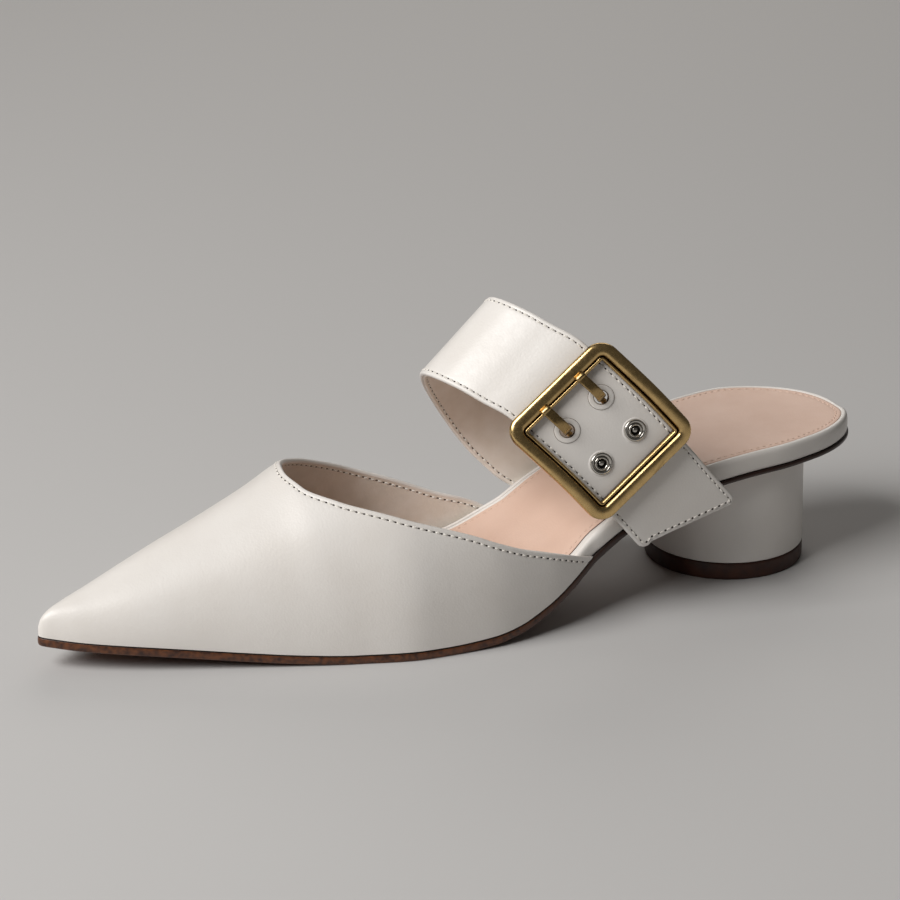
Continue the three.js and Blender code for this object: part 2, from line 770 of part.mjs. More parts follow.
// A prong hooks round the bar, comes up through its hole and rests on the front bar of the frame
function prong(over) {
  const hookReach = barRadius + smallGap + hookRadius;
  const hook = [];
  for (let degrees = -210; degrees <= 0; degrees += 35) {
    const turn = THREE.MathUtils.degToRad(degrees);
    hook.push([-hookReach * Math.sin(turn), barOut + hookReach * Math.cos(turn)]);
  }
  const underside = barOut + hookReach;
  const rest = frameLow + frameDepth * restShare + smallGap + prongRadius;
  const tip = -(frameHalfAlong - frameBar / 2) - tipOnBar;
  const stem = [
    [prongRow + 2.4, underside],
    [prongRow + 0.9, underside + 0.4],
    [prongRow + 0.2, underside + 1.4],
    [prongRow, face - 0.4],
    [prongRow - 0.3, face + 1],
    [prongRow - 1.3, face + 2.2],
    [prongRow - 3, face + 3],
    [lerp(prongRow, tip, 0.65), lerp(face + 3, rest, 0.65)],
    [tip + 1.8, rest - 0.1],
    [tip + 0.6, rest],
    [tip + 0.1, rest],
  ];
  const bare = hook.length + 2; // the prong is thin up to here, and swells above the strap
  const count = hook.length + stem.length - 1;
  const radiusAt = (share) => {
    const index = share * count;
    if (index > count - 0.5) return prongRadius * 0.5;
    if (index > count - 1.5) return prongRadius * 0.9;
    return lerp(hookRadius, prongRadius, smoothstep(index, bare, bare + 4));
  };
  const path = [...hook, ...stem].map(([along, out]) => atBuckle(along, over, out));
  return rodBody(path, widthAxis, radiusAt, 10);
}

// The chape holds the buckle to the sole: a strip from the outer feather, curled round the bar
function makeChapeLine() {
  const bar = atBuckle(0, 0, barOut);
  const barUp = bar.clone().sub(strapOrigin).dot(riseAxis);
  const radius = barRadius + gap + chapeThickness / 2;
  const footY = -(halfWidth(strapOrigin.x, -1) - footbedInset + gap + chapeThickness / 2);
  const bottom = strapCrest * strapLoop.up.at(-1);
  const points = [
    new THREE.Vector3(0, footY, bottom),
    new THREE.Vector3(0, footY, lerp(bottom, barUp, 0.25)),
    new THREE.Vector3(0, footY, lerp(bottom, barUp, 0.5)),
    new THREE.Vector3(0, lerp(footY, bar.y + radius, 0.6), lerp(bottom, barUp, 0.8)),
  ];
  for (let degrees = 0; degrees <= 270; degrees += 45) {
    const turn = THREE.MathUtils.degToRad(degrees);
    const y = bar.y + radius * Math.cos(turn);
    points.push(new THREE.Vector3(0, y, barUp + radius * Math.sin(turn)));
  }
  return new THREE.CatmullRomCurve3(points, false, "centripetal");
}

const chapeLine = makeChapeLine();
const chapeLength = chapeLine.getLength();
const chapeSlide = strapWidth * strapLoop.slide.at(-3);

// The chape twists a little on its way up, to lie square to the buckle's bar
function chapePoint(run, over, out) {
  const share = Math.min(Math.max(run / chapeLength, 0), 1);
  const flat = chapeLine.getPointAt(share);
  const heading = chapeLine.getTangentAt(share);
  const twist = askew * (over - strapWidth / 2) * smoothstep(share, 0.2, 0.6);
  return strapOrigin.clone()
    .addScaledVector(alongBuckle, twist)
    .addScaledVector(sideAxis, flat.y - heading.z * out)
    .addScaledVector(riseAxis, flat.z + heading.y * out)
    .addScaledVector(widthAxis, chapeSlide + over);
}

const chapeFoot = (over) => runAtSole(chapePoint, over, chapeLength * 0.6);

function chape() {
  const steps = 24;
  const shares = [0, 0.25, 0.5, 0.75, 1];
  const wide = strapWidth - 2 * chapeMargin;
  const grid = (out) => Array.from({ length: steps + 1 }, (_, i) => shares.map((share) => {
    const over = chapeMargin + share * wide;
    const start = chapeFoot(over);
    const run = lerp(start, chapeLength, i / steps);
    return chapePoint(run, over, out + tuck(run - start));
  }));
  let solid = solidOf(sheetBody(grid(chapeThickness / 2), grid(-chapeThickness / 2)));
  const slot = hookRadius + 2 * gap;
  const deep = barRadius + 2 * gap + chapeThickness;
  holeOvers.forEach((over) => {
    const corners = (side) => [[-deep, -deep], [deep, -deep], [deep, deep], [-deep, deep]]
      .map(([along, out]) => atBuckle(along, over + side * slot, barOut + out));
    const faces = [
      ...quad(0, 3, 2, 1), ...quad(4, 5, 6, 7), ...quad(0, 1, 5, 4),
      ...quad(1, 2, 6, 5), ...quad(2, 3, 7, 6), ...quad(3, 0, 4, 7),
    ];
    solid = solid.subtract(solidOf(bodyFrom([...corners(-1), ...corners(1)], faces)));
  });
  return geometryOf(solid);
}

// Room in the footbed's side for the tucked foot of a strip, open to the outside
function footRoom(pointAt, startAt, thickness, margin) {
  const steps = 8;
  const shares = [0, 0.25, 0.5, 0.75, 1];
  const width = strapWidth - 2 * margin;
  const grid = (out) => Array.from({ length: steps + 1 }, (_, i) => shares.map((share) => {
    const over = margin + share * width + (share - 0.5) * 2 * gap;
    const start = startAt(margin + share * width);
    const run = start + lerp(-roomAhead, tuckLength, i / steps);
    const pulled = out < 0 ? tuck(Math.max(run - start, 0)) : 0;
    return pointAt(run, over, out + pulled);
  }));
  return sheetBody(grid(thickness * 2), grid(-thickness / 2 - gap));
}

// A round block, cut on top to follow the sole
function heelBlock() {
  const points = [
    [0, capHeight],
    [heelRadius, capHeight],
    [heelRadius, seatHeight],
    [heelRadius * 0.66, seatHeight],
    [heelRadius * 0.33, seatHeight],
    [0, seatHeight],
  ].map(([radius, z]) => new THREE.Vector2(radius, z));
  const geometry = new THREE.LatheGeometry(points, 48).rotateX(Math.PI / 2);
  const position = geometry.attributes.position;
  for (let i = 0; i < position.count; i += 1) {
    if (position.getZ(i) > capHeight + 1) position.setZ(i, soleUnderside(position.getX(i)) - gap);
  }
  return geometryOf(solidOf(geometry));
}

function heelCap() {
  const points = [
    [0, 0],
    [heelRadius - capChamfer, 0],
    [heelRadius, capChamfer],
    [heelRadius, capHeight],
    [0, capHeight],
  ].map(([radius, z]) => new THREE.Vector2(radius, z));
  return geometryOf(solidOf(new THREE.LatheGeometry(points, 48).rotateX(Math.PI / 2)));
}

const ivoryLeather = { color: 0xe6e1da, roughness: 0.45, metalness: 0 };
const nudeLeather = { color: 0xcfa892, roughness: 0.6, metalness: 0 };
const brownLeather = { color: 0x6b3a22, roughness: 0.5, metalness: 0 };
const darkRubber = { color: 0x3d2618, roughness: 0.7, metalness: 0 };
const antiqueBrass = { color: 0xa98443, roughness: 0.35, metalness: 1 };
const nickel = { color: 0xb8b4ac, roughness: 0.3, metalness: 1 };

const shoe = new THREE.Group();

function addPiece(name, geometry, finish) {
  const mesh = new THREE.Mesh(geometry, new THREE.MeshStandardMaterial(finish));
  mesh.name = name;
  shoe.add(mesh);
}

const feetRooms = [
  footRoom(strapPoint, strapFoot, strapThickness, 0),
  footRoom(chapePoint, chapeFoot, chapeThickness, chapeMargin),
];

addPiece("outsole", outsole(), brownLeather);
addPiece("footbed", footbed(feetRooms), ivoryLeather);
addPiece("sock", sock(), nudeLeather);
addPiece("vamp", vamp(), ivoryLeather);
addPiece("strap", strap(), ivoryLeather);
addPiece("chape", chape(), ivoryLeather);
addPiece("buckle", buckle(), antiqueBrass);
["front", "rear"].forEach((place, index) => {
  addPiece(`prong_${place}`, prong(holeOvers[index]), antiqueBrass);
  addPiece(`eyelet_${place}`, eyelet(holeOvers[index]), nickel);
});
addPiece("heel_block", heelBlock(), ivoryLeather);
addPiece("heel_cap", heelCap(), darkRubber);

export default shoe;
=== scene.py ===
import math
from bisect import bisect_right

import bmesh
import bpy
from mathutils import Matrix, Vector


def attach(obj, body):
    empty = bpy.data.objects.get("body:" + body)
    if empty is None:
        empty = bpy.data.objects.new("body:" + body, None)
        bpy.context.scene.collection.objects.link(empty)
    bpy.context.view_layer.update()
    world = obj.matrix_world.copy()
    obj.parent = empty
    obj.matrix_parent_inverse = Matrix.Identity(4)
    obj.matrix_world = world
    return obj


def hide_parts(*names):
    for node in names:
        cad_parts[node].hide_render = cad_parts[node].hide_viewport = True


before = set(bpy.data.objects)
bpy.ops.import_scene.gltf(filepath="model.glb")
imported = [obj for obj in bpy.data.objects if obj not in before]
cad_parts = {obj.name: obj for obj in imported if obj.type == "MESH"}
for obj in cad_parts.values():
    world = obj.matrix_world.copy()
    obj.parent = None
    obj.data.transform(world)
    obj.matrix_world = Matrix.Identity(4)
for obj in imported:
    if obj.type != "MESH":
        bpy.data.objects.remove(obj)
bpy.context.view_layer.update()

# Outsole: one piece of thin brown sole leather, cut to the plan of the last and skived thin under the
# heel seat. Its edge is inked, waxed and burnished; the dark line along the feather is painted shadow.
# Sizes are in millimetres: toe along -X, outer side of the foot along -Y, floor at zero.
MM = 0.001
SHOE_LENGTH = 268.7
HEEL_BACKSET = 41.6
BALL_WIDTH = 79.0
SEAT_HEIGHT = 37.6
TOE_SPRING = 7.4
HEEL_ROUND_START = 4.0
TREAD_THICKNESS = 2.6
SEAT_THICKNESS = 1.4
SKIVED = (0.62, 0.74)
GAP = 0.3
TIP_X = HEEL_BACKSET - SHOE_LENGTH


def lerp(start, end, share):
    return start + (end - start) * share


def clamp(value, low=0.0, high=1.0):
    return min(max(value, low), high)


def smoothstep(value, low, high):
    share = clamp((value - low) / (high - low))
    return share * share * (3 - 2 * share)


def curve_through(knots, values):
    """Smooth curve through (knots, values) that never overshoots a value."""
    last = len(knots) - 1
    rise = [(values[i + 1] - values[i]) / (knots[i + 1] - knots[i]) for i in range(last)]
    slope = [rise[0]]
    for i in range(1, last):
        before, after = rise[i - 1], rise[i]
        if before * after <= 0:
            slope.append(0.0)
            continue
        heavy = 2 * (knots[i + 1] - knots[i]) + knots[i] - knots[i - 1]
        light = knots[i + 1] - knots[i] + 2 * (knots[i] - knots[i - 1])
        slope.append((heavy + light) / (heavy / before + light / after))
    slope.append(rise[-1])

    def value_at(at):
        place = clamp(at, knots[0], knots[last])
        i = 0
        while i < last - 1 and place > knots[i + 1]:
            i += 1
        span = knots[i + 1] - knots[i]
        t = (place - knots[i]) / span
        blend = t * t * (3 - 2 * t)
        lead = t * (1 - t) * (1 - t) * span
        trail = t * t * (t - 1) * span
        return lerp(values[i], values[i + 1], blend) + slope[i] * lead + slope[i + 1] * trail

    return value_at


# Plan of the sole: place from the toe as a share of the length, then the outer and inner half widths
# as shares of the ball's width. The square root of the place rounds the tip.
PLAN = (
    (0, 0, 0), (0.0125, 0.042, 0.053), (0.045, 0.106, 0.127), (0.101, 0.19, 0.215),
    (0.175, 0.278, 0.329), (0.25, 0.366, 0.418), (0.324, 0.447, 0.472), (0.399, 0.509, 0.475),
    (0.473, 0.516, 0.418), (0.548, 0.478, 0.348), (0.622, 0.405, 0.282), (0.696, 0.376, 0.263),
    (0.771, 0.366, 0.32), (0.845, 0.352, 0.372), (0.91, 0.325, 0.405), (1, 0.315, 0.405),
)
plan_at, plan_outer, plan_inner = zip(*PLAN)
plan_knots = [math.sqrt(at) for at in plan_at]
outer_half = curve_through(plan_knots, plan_outer)
inner_half = curve_through(plan_knots, plan_inner)

# Profile of the sole: place, share of the toe spring, share of the climb from tread to seat
PROFILE = (
    (0, 1, 0), (0.045, 0.84, 0), (0.101, 0.68, 0), (0.212, 0.27, 0), (0.268, 0.09, 0), (0.324, 0, 0),
    (0.417, 0, 0), (0.473, 0, 0.022), (0.51, 0, 0.07), (0.548, 0, 0.185), (0.585, 0, 0.345),
    (0.622, 0, 0.55), (0.678, 0, 0.765), (0.734, 0, 0.9), (0.789, 0, 0.966), (0.845, 0, 1),
    (0.938, 0, 1.015), (1, 0, 1.03),
)
profile_at, profile_spring, profile_rise = zip(*PROFILE)
spring_at = curve_through(profile_at, profile_spring)
rise_at = curve_through(profile_at, profile_rise)


def share_at(x):
    return (x - TIP_X) / SHOE_LENGTH


def x_at(share):
    return TIP_X + SHOE_LENGTH * share


def rounding(x, end):
    """How much of the half width is left at x where the seat rounds off towards its end."""
    into_heel = (x - HEEL_ROUND_START) / (end - HEEL_ROUND_START)
    if into_heel <= 0:
        return 1.0
    return math.sqrt(max(1 - into_heel * into_heel, 0.0))


def layer_half(x, side, inset):
    """Half width of a layer that stays inside the sole's edge by inset, rounded off at the heel."""
    plan = (outer_half if side < 0 else inner_half)(math.sqrt(max(share_at(x), 0.0)))
    return (BALL_WIDTH * plan - inset) * rounding(x, HEEL_BACKSET - inset)


def half_width(x, side):
    return layer_half(x, side, 0.0)


def long_sides(xs, half_at):
    """The outer and the inner side of a flat layer, from its half width at each x."""
    return [[Vector((x, side * half_at(x, side))) for x in xs] for side in (-1, 1)]


def side_of(y):
    return -1 if y < 0 else 1


def sole_top(x):
    share = share_at(x)
    climb = SEAT_HEIGHT - TREAD_THICKNESS
    return TREAD_THICKNESS + TOE_SPRING * spring_at(share) + climb * rise_at(share)


def sole_thickness(x):
    return lerp(TREAD_THICKNESS, SEAT_THICKNESS, smoothstep(share_at(x), *SKIVED))


def inset_outline(outline, inset):
    """The closed flat outline moved inwards; points that coincide stay together."""
    count = len(outline)
    moved = []
    for i, point in enumerate(outline):
        ahead, behind = 1, 1
        while (outline[(i + ahead) % count] - point).length < 1e-5:
            ahead += 1
        while (outline[i - behind] - point).length < 1e-5:
            behind += 1
        heading = (outline[(i + ahead) % count] - outline[i - behind]).normalized()
        moved.append(point + inset * Vector((-heading.y, heading.x)))
    return moved


def outline_of(left, right, shares):
    """One closed outline from two long sides, with the ends divided at the given shares."""
    start = [left[0].lerp(right[0], share) for share in shares]
    end = [left[-1].lerp(right[-1], share) for share in shares]
    return [*left, *end, *reversed(right), *reversed(start)]


def band_faces(rows, sides, closed=False):
    """Faces between rows of points that each go round; closed joins the last row to the first."""
    faces = []
    for row in range(rows if closed else rows - 1):
        near, far = row * sides, (row + 1) % rows * sides
        for j in range(sides):
            after = (j + 1) % sides
            faces.append((near + j, near + after, far + after, far + j))
    return faces


def tube_faces(rows, sides):
    """Faces of a tube of such rows, closed at both ends."""
    end = (rows - 1) * sides
    return [*band_faces(rows, sides), tuple(range(sides)), tuple(range(end, end + sides))]


def slab(left, right, edge, place, shares):
    """Vertices and faces of a sheet on a flat outline.

    left and right are its long sides, point for point. edge steps from the top round to the underside
    as (inset, share of the thickness, lift). place puts a flat point with such a share and lift in the
    object. shares are where the top and underside are divided from left to right.
    """
    outline = outline_of(left, right, shares)
    rings = [inset_outline(outline, inset) for inset, _, _ in edge]
    count = len(outline)
    rows = len(left)
    vertices = []
    for ring, (_, share, lift) in zip(rings, edge):
        vertices += [place(point.x, point.y, share, lift) for point in ring]
    faces = band_faces(len(edge), count)
    for k in (0, len(edge) - 1):
        ring, first = rings[k], k * count
        _, share, lift = edge[k]
        grid = []
        for i in range(rows):
            right_index = rows + len(shares) + rows - 1 - i
            inside = []
            for j, across in enumerate(shares):
                if i == 0:
                    inside.append(first + count - 1 - j)
                elif i == rows - 1:
                    inside.append(first + rows + j)
                else:
                    flat = ring[i].lerp(ring[right_index], across)
                    inside.append(len(vertices))
                    vertices.append(place(flat.x, flat.y, share, lift))
            grid.append([first + i, *inside, first + right_index])
        for near, far in zip(grid, grid[1:]):
            for j in range(len(near) - 1):
                faces.append((near[j], near[j + 1], far[j + 1], far[j]))
    return vertices, faces


def step_of(number, side, shares):
    """The step of a slab's edge that a face lies in, from its number; the flat faces come after."""
    return number // (2 * (len(side) + len(shares)))


WELD_DISTANCE = 0.002
SHARP_ANGLE = math.radians(50)


def add_piece(name, vertices, faces, materials, slot, replaces=(), finish_of=None):
    """A smooth mesh in millimetres that rides on the shoe; finish_of numbers each face's material."""
    shape = bmesh.new()
    points = [shape.verts.new(Vector(vertex) * MM) for vertex in vertices]
    for number, corners in enumerate(faces):
        face = shape.faces.new([points[i] for i in corners])
        face.smooth = True
        face.material_index = finish_of(number) if finish_of else 0
    bmesh.ops.remove_doubles(shape, verts=shape.verts, dist=WELD_DISTANCE * MM)
    bmesh.ops.recalc_face_normals(shape, faces=shape.faces)
    mesh = bpy.data.meshes.new(name)
    shape.to_mesh(mesh)
    shape.free()
    for material in materials:
        mesh.materials.append(material)
    mesh.set_sharp_from_angle(angle=SHARP_ANGLE)
    piece = bpy.data.objects.new(name, mesh)
    bpy.context.scene.collection.objects.link(piece)
    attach(piece, "root")
    if replaces:
        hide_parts(*replaces)
    return piece


def colour(code):
    """A linear colour from an sRGB hex value."""
    channels = [int(code[i:i + 2], 16) / 255 for i in (1, 3, 5)]
    linear = [c / 12.92 if c <= 0.04045 else ((c + 0.055) / 1.055) ** 2.4 for c in channels]
    return (*linear, 1.0)


def add_node(tree, kind, inputs=None, **settings):
    """Adds a shader node. An input is a value, or another node's output to link."""
    node = tree.nodes.new("ShaderNode" + kind)
    for name, value in settings.items():
        setattr(node, name, value)
    for name, value in (inputs or {}).items():
        if isinstance(value, bpy.types.NodeSocket):
            tree.links.new(value, node.inputs[name])
        else:
            node.inputs[name].default_value = value
    return node


def new_material(name, shader_inputs):
    """A material with its main shader; returns the material, its tree and the shader."""
    material = bpy.data.materials.new(name)
    material.use_nodes = True
    tree = material.node_tree
    tree.nodes.clear()
    shader = add_node(tree, "BsdfPrincipled", shader_inputs)
    add_node(tree, "OutputMaterial", {"Surface": shader.outputs["BSDF"]})
    return material, tree, shader


def leather(name, tone, shade, grain, relief, rough, hide=22.0, waist=None, **finish):
    """Finished leather. The eye sees a slow change of tone over the hide, fine pores and creases,
    and a soft gloss that the grain breaks up. grain, relief and hide are millimetres. waist gives two
    places along the shoe between which the shade takes over."""
    material, tree, shader = new_material(name, finish)
    place = add_node(tree, "TexCoord").outputs["Object"]
    tones = add_node(tree, "TexNoise", {"Vector": place, "Scale": 1 / (hide * MM), "Detail": 4.0})
    spread = add_node(tree, "MapRange", {"Value": tones.outputs["Fac"], "From Min": 0.35, "From Max": 0.68})
    share = spread.outputs[0]
    if waist:
        along = add_node(tree, "SeparateXYZ", {"Vector": place}).outputs["X"]
        # Darker along the shoe's length between the two waist places.
        waist_darkening = add_node(tree, "MapRange", {
            "Value": along, "From Min": waist[0] * MM, "From Max": waist[1] * MM, "To Max": 1.6,
        })
        share = add_node(tree, "Math", {0: share, 1: waist_darkening.outputs[0]}, operation="MAXIMUM").outputs[0]
    tint = add_node(tree, "Mix", {0: share, 6: colour(tone), 7: colour(shade)}, data_type="RGBA")
    creases = add_node(tree, "TexNoise", {
        "Vector": place, "Scale": 1 / (3.5 * grain * MM), "Detail": 6.0, "Roughness": 0.62,
        "Distortion": 0.4,
    })
    pores = add_node(tree, "TexVoronoi", {"Vector": place, "Scale": 1 / (grain * MM)}, feature="F1")
    height = add_node(tree, "Math", {
        0: pores.outputs["Distance"], 1: 0.55, 2: creases.outputs["Fac"],
    }, operation="MULTIPLY_ADD")
    bump = add_node(tree, "Bump", {
        "Height": height.outputs[0], "Strength": 0.7, "Distance": relief * MM,
    })
    gloss = add_node(tree, "MapRange", {
        "Value": creases.outputs["Fac"], "From Min": 0.3, "From Max": 0.7,
        "To Min": rough - 0.06, "To Max": rough + 0.07,
    })
    tree.links.new(tint.outputs[2], shader.inputs["Base Color"])
    tree.links.new(gloss.outputs[0], shader.inputs["Roughness"])
    tree.links.new(bump.outputs["Normal"], shader.inputs["Normal"])
    return material


sole_leather = leather("vegetable_tanned_sole", "#5A3220", "#6E4029", 0.8, 0.05, 0.5)
# The edge turns darker from the waist to the heel seat.
sole_edge = leather(
    "burnished_edge", "#6B3D1E", "#2E150A", 0.5, 0.08, 0.36, hide=1.6, waist=(-110.0, -30.0),
    **{"Coat Weight": 0.15},
)
# Painted shadow: the top of the sole along the feather is coloured near black for the shade under the
# upper's edge.
painted_feather_shadow = leather("painted_feather_shadow", "#1A0C07", "#26120A", 0.5, 0.02, 0.45)

SOLE_SECTIONS = 220
sole_xs = [
    lerp(TIP_X, HEEL_BACKSET, 0.5 - 0.5 * math.cos(math.pi * i / SOLE_SECTIONS))
    for i in range(SOLE_SECTIONS + 1)
]


def place_sole(x, y, share, lift):
    return Vector((x, y, sole_top(x) - share * sole_thickness(x) + lift))


# Steps of the edge: inset, share of the thickness down from the top, lift
SOLE_EDGE = (
    (2.0, 0, 0), (0.5, 0, 0), (0.05, 0, -0.02), (-0.08, 0, -0.14), (-0.14, 0.14, -0.06), (-0.22, 0.3, 0),
    (-0.24, 0.55, 0), (-0.2, 0.8, 0), (-0.08, 0.93, 0), (0.1, 0.99, 0), (0.6, 1, 0), (2.0, 1, 0),
)
# The first steps, under the upper's edge, carry the painted feather shadow.
FEATHER_SHADOW_STEPS = 3
sole_sides = long_sides(sole_xs, half_width)


def even_shares(count):
    return [i / count for i in range(1, count)]


sole_shares = even_shares(10)


def sole_finish(number):
    """Painted shadow at the feather, wax on the edge, plain leather above and below."""
    step = step_of(number, sole_xs, sole_shares)
    if step < FEATHER_SHADOW_STEPS:
        return 2
    return 1 if step < len(SOLE_EDGE) - 2 else 0


add_piece(
    "outsole_leather", *slab(*sole_sides, SOLE_EDGE, place_sole, sole_shares),
    [sole_leather, sole_edge, painted_feather_shadow], "sole_leather", ["outsole"], sole_finish,
)

# Heel block: a round core wrapped in ivory upper leather, glued with one butted seam at its inner
# front and turned under at the bottom. Its top is cut to follow the sole.
HEEL_RADIUS = 25.2
CAP_HEIGHT = 5.45
HEEL_SIDES = 180
TURN_UNDER = 0.7
SEAM_ANGLE = math.radians(150)
SEAM_WIDTH = 0.9
SEAM_DEPTH = 0.22
HEEL_TAPER = 0.7
CAP_JOINT = 0.08

ivory = leather(
    "ivory_calf", "#E9E5E0", "#E4DFD9", 0.7, 0.06, 0.4,
    **{"Coat Weight": 0.2, "Coat Roughness": 0.3},
)


def groove(distance, depth, width):
    return depth * math.exp(-((distance / width) ** 2))


# Levels of the wrap: inset from the radius, share of the way up to the sole, lift
HEEL_LEVELS = (
    (3.0, 0, CAP_JOINT), (TURN_UNDER, 0, CAP_JOINT), (0.3, 0, 0.2), (0.06, 0, 0.48),
    (0, 0, TURN_UNDER + CAP_JOINT), (0, 0.5, 0), (0, 1, -0.9), (0.08, 1, -0.4), (0.4, 1, -0.1),
    (1.0, 1, 0), (3.0, 1, 0),
)


def ring_body(levels, sides, point_at):
    """A turned body closed at both ends: point_at gives the place at an angle on a level."""
    vertices = [point_at(level, 2 * math.pi * i / sides) for level in levels for i in range(sides)]
    return vertices, tube_faces(len(levels), sides)


def heel_point(level, angle):
    inset, up, lift = level
    dip = groove((angle - SEAM_ANGLE) * HEEL_RADIUS, SEAM_DEPTH, SEAM_WIDTH)
    reach = HEEL_RADIUS - inset - dip - up * HEEL_TAPER
    x, y = reach * math.cos(angle), reach * math.sin(angle)
    roof = sole_top(x) - sole_thickness(x) - GAP
    return Vector((x, y, lerp(CAP_HEIGHT, roof, up) + lift))


add_piece(
    "heel_wrap", *ring_body(HEEL_LEVELS, HEEL_SIDES, heel_point), [ivory], "ivory_leather", ["heel_block"],
)

# Top piece: a round lift of dark brown rubber compound, nailed and glued under the heel and buffed
# flush with its leather, with a small chamfer at the floor.
top_piece = leather("brown_rubber_lift", "#43200F", "#2B130A", 0.6, 0.05, 0.5, hide=5.0)

# Levels of the lift: inset from the radius, height
CAP_LEVELS = (
    (4.0, 0), (0.7, 0), (0.25, 0.1), (0.05, 0.4), (0, 0.8), (0, CAP_HEIGHT - 0.7),
    (0.1, CAP_HEIGHT - 0.3), (0.45, CAP_HEIGHT), (3.0, CAP_HEIGHT),
)


def cap_point(level, angle):
    inset, z = level
    radius = HEEL_RADIUS - inset
    return Vector((radius * math.cos(angle), radius * math.sin(angle), z))


add_piece(
    "heel_top_piece", *ring_body(CAP_LEVELS, HEEL_SIDES, cap_point), [top_piece], "top_piece", ["heel_cap"],
)

# Footbed: an insole board and its foam, wrapped in ivory leather that is drawn over a rounded rim
# and turned under. It runs under the vamp in front and shows as a rim all round behind it.
INSTEP_HEIGHT = 52.0
VAMP_WALL = 1.8
FOOTBED_THICKNESS = 5.6
TOE_FOOTBED_THICKNESS = 3.4
THICKENING = (0.05, 0.4)
FOOTBED_INSET = 0.3
FOOTBED_TOE_GAP = 9.0
SEAT_DISH = 1.0
DISHING = (0.734, 0.864)
COMING_OUT = (-1.0, 4.0)
WING_EDGE = 0.6
WING_GAP = 0.15
SKIVED_WING = (-18.0, -3.0)
WALL_AT_FEATHER = 1.2 * VAMP_WALL
SLIMMEST = 0.5
STEEPEST = 0.99

# Ridge of the last over the sole: place, share of the instep's height. These were fitted to the outline
# in the photograph by calculation, not chosen by hand.
RIDGE = (
    (0, 0.055), (0.0035, 0.1), (0.0115, 0.145), (0.03, 0.197), (0.056, 0.256), (0.101, 0.366),
    (0.157, 0.508), (0.212, 0.652), (0.268, 0.814), (0.294, 0.898), (0.399, 1.12), (0.51, 1.29),
    (0.62, 1.42),
)
ridge_at = curve_through(*zip(*RIDGE))

# Topline of the vamp: place across the last from the outer feather (-1) to the inner (1), and along it.
# These too were fitted, to points picked along the topline in the photograph.
TOPLINE = (
    (-1, 0.612), (-0.87, 0.559), (-0.69, 0.471), (-0.53, 0.386), (-0.37, 0.327), (-0.2, 0.297),
    (-0.03, 0.29), (0.13, 0.296), (0.3, 0.314), (0.45, 0.347), (0.6, 0.399), (0.79, 0.498),
    (0.92, 0.56), (1, 0.588),
)
topline_at = curve_through(*zip(*TOPLINE))


def vamp_end(side):
    return x_at(topline_at(side))


def footbed_height(x):
    return lerp(TOE_FOOTBED_THICKNESS, FOOTBED_THICKNESS, smoothstep(share_at(x), *THICKENING))


def wing_thinning(x, side):
    """How far the vamp's wall is pared down towards the end of its wing."""
    start, end = SKIVED_WING
    return smoothstep(x, vamp_end(side) + start, vamp_end(side) + end)


def footbed_half(x, side):
    """Inside the vamp's wall in front, almost flush with the sole behind."""
    height = INSTEP_HEIGHT * ridge_at(share_at(x))
    lift = min((footbed_height(x) + GAP) / height, STEEPEST)
    flush = layer_half(x, side, FOOTBED_INSET)
    lean_in = half_width(x, side) * (1 - math.sqrt(1 - lift * lift))
    wall = lerp(WALL_AT_FEATHER + GAP, WING_EDGE + WING_GAP, wing_thinning(x, side))
    inside = half_width(x, side) - wall - lean_in
    start, end = COMING_OUT
    return lerp(inside, flush, smoothstep(x, vamp_end(side) + start, vamp_end(side) + end))


def dish(x, y):
    """How deep the seat is pressed down at a place."""
    across = y / max(footbed_half(x, side_of(y)), SLIMMEST)
    return SEAT_DISH * smoothstep(share_at(x), *DISHING) * (1 - min(across * across, 1.0))


def place_footbed(x, y, share, lift):
    return Vector((x, y, sole_top(x) + GAP + share * (footbed_height(x) - dish(x, y)) + lift))


# The rim stands a little over the recess that the sock lies in
RECESS = 0.3
RIM_EDGE = (
    (5.0, 1, -RECESS), (2.4, 1, -RECESS), (2.06, 1, -RECESS), (2.0, 1, 0.08), (1.86, 1, 0.24),
    (1.6, 1, 0.3), (1.3, 1, 0.29), (1.0, 1, 0.2), (0.7, 1, 0.0), (0.42, 1, -0.32), (0.2, 1, -0.75),
    (0.05, 1, -1.25), (-0.06, 1, -2.0), (-0.12, 0, 2.2), (-0.08, 0, 0.7), (0.02, 0, 0.2),
    (0.3, 0, -0.08), (0.9, 0, -0.15), (2.2, 0, -0.15),
)


def closing_up(start, end, count):
    """Places from start to end that lie closer together towards the end."""
    return [lerp(start, end, math.sin(0.5 * math.pi * i / count)) for i in range(count + 1)]


footbed_xs = closing_up(TIP_X + FOOTBED_TOE_GAP, HEEL_BACKSET - FOOTBED_INSET, SOLE_SECTIONS)
add_piece(
    "footbed_wrap",
    *slab(*long_sides(footbed_xs, footbed_half), RIM_EDGE, place_footbed, sole_shares),
    [ivory], "ivory_leather", ["footbed"],
)

# Sock: nude kid leather over the footbed, cut a little inside its rim, stitched near its edge and
# pressed down by the heel.
SOCK_THICKNESS = 0.6
SOCK_INSET = 2.1
WING_INSET = 1.8
STRAIGHTENING = 25.0
SOCK_TOE_GAP = 13.0
SOCK_SECTIONS = 180
BEDDING = 0.02
nude = leather("nude_kid", "#DFC0AE", "#D6B5A2", 0.7, 0.05, 0.5)
# The sock's cut edge and the strip under it are dark brown: partly the cut leather, partly painted shade in
# the step down to the rim.
sock_edge_shade = leather("sock_cut_edge_painted_shade", "#6E4636", "#5C3829", 0.5, 0.02, 0.7)


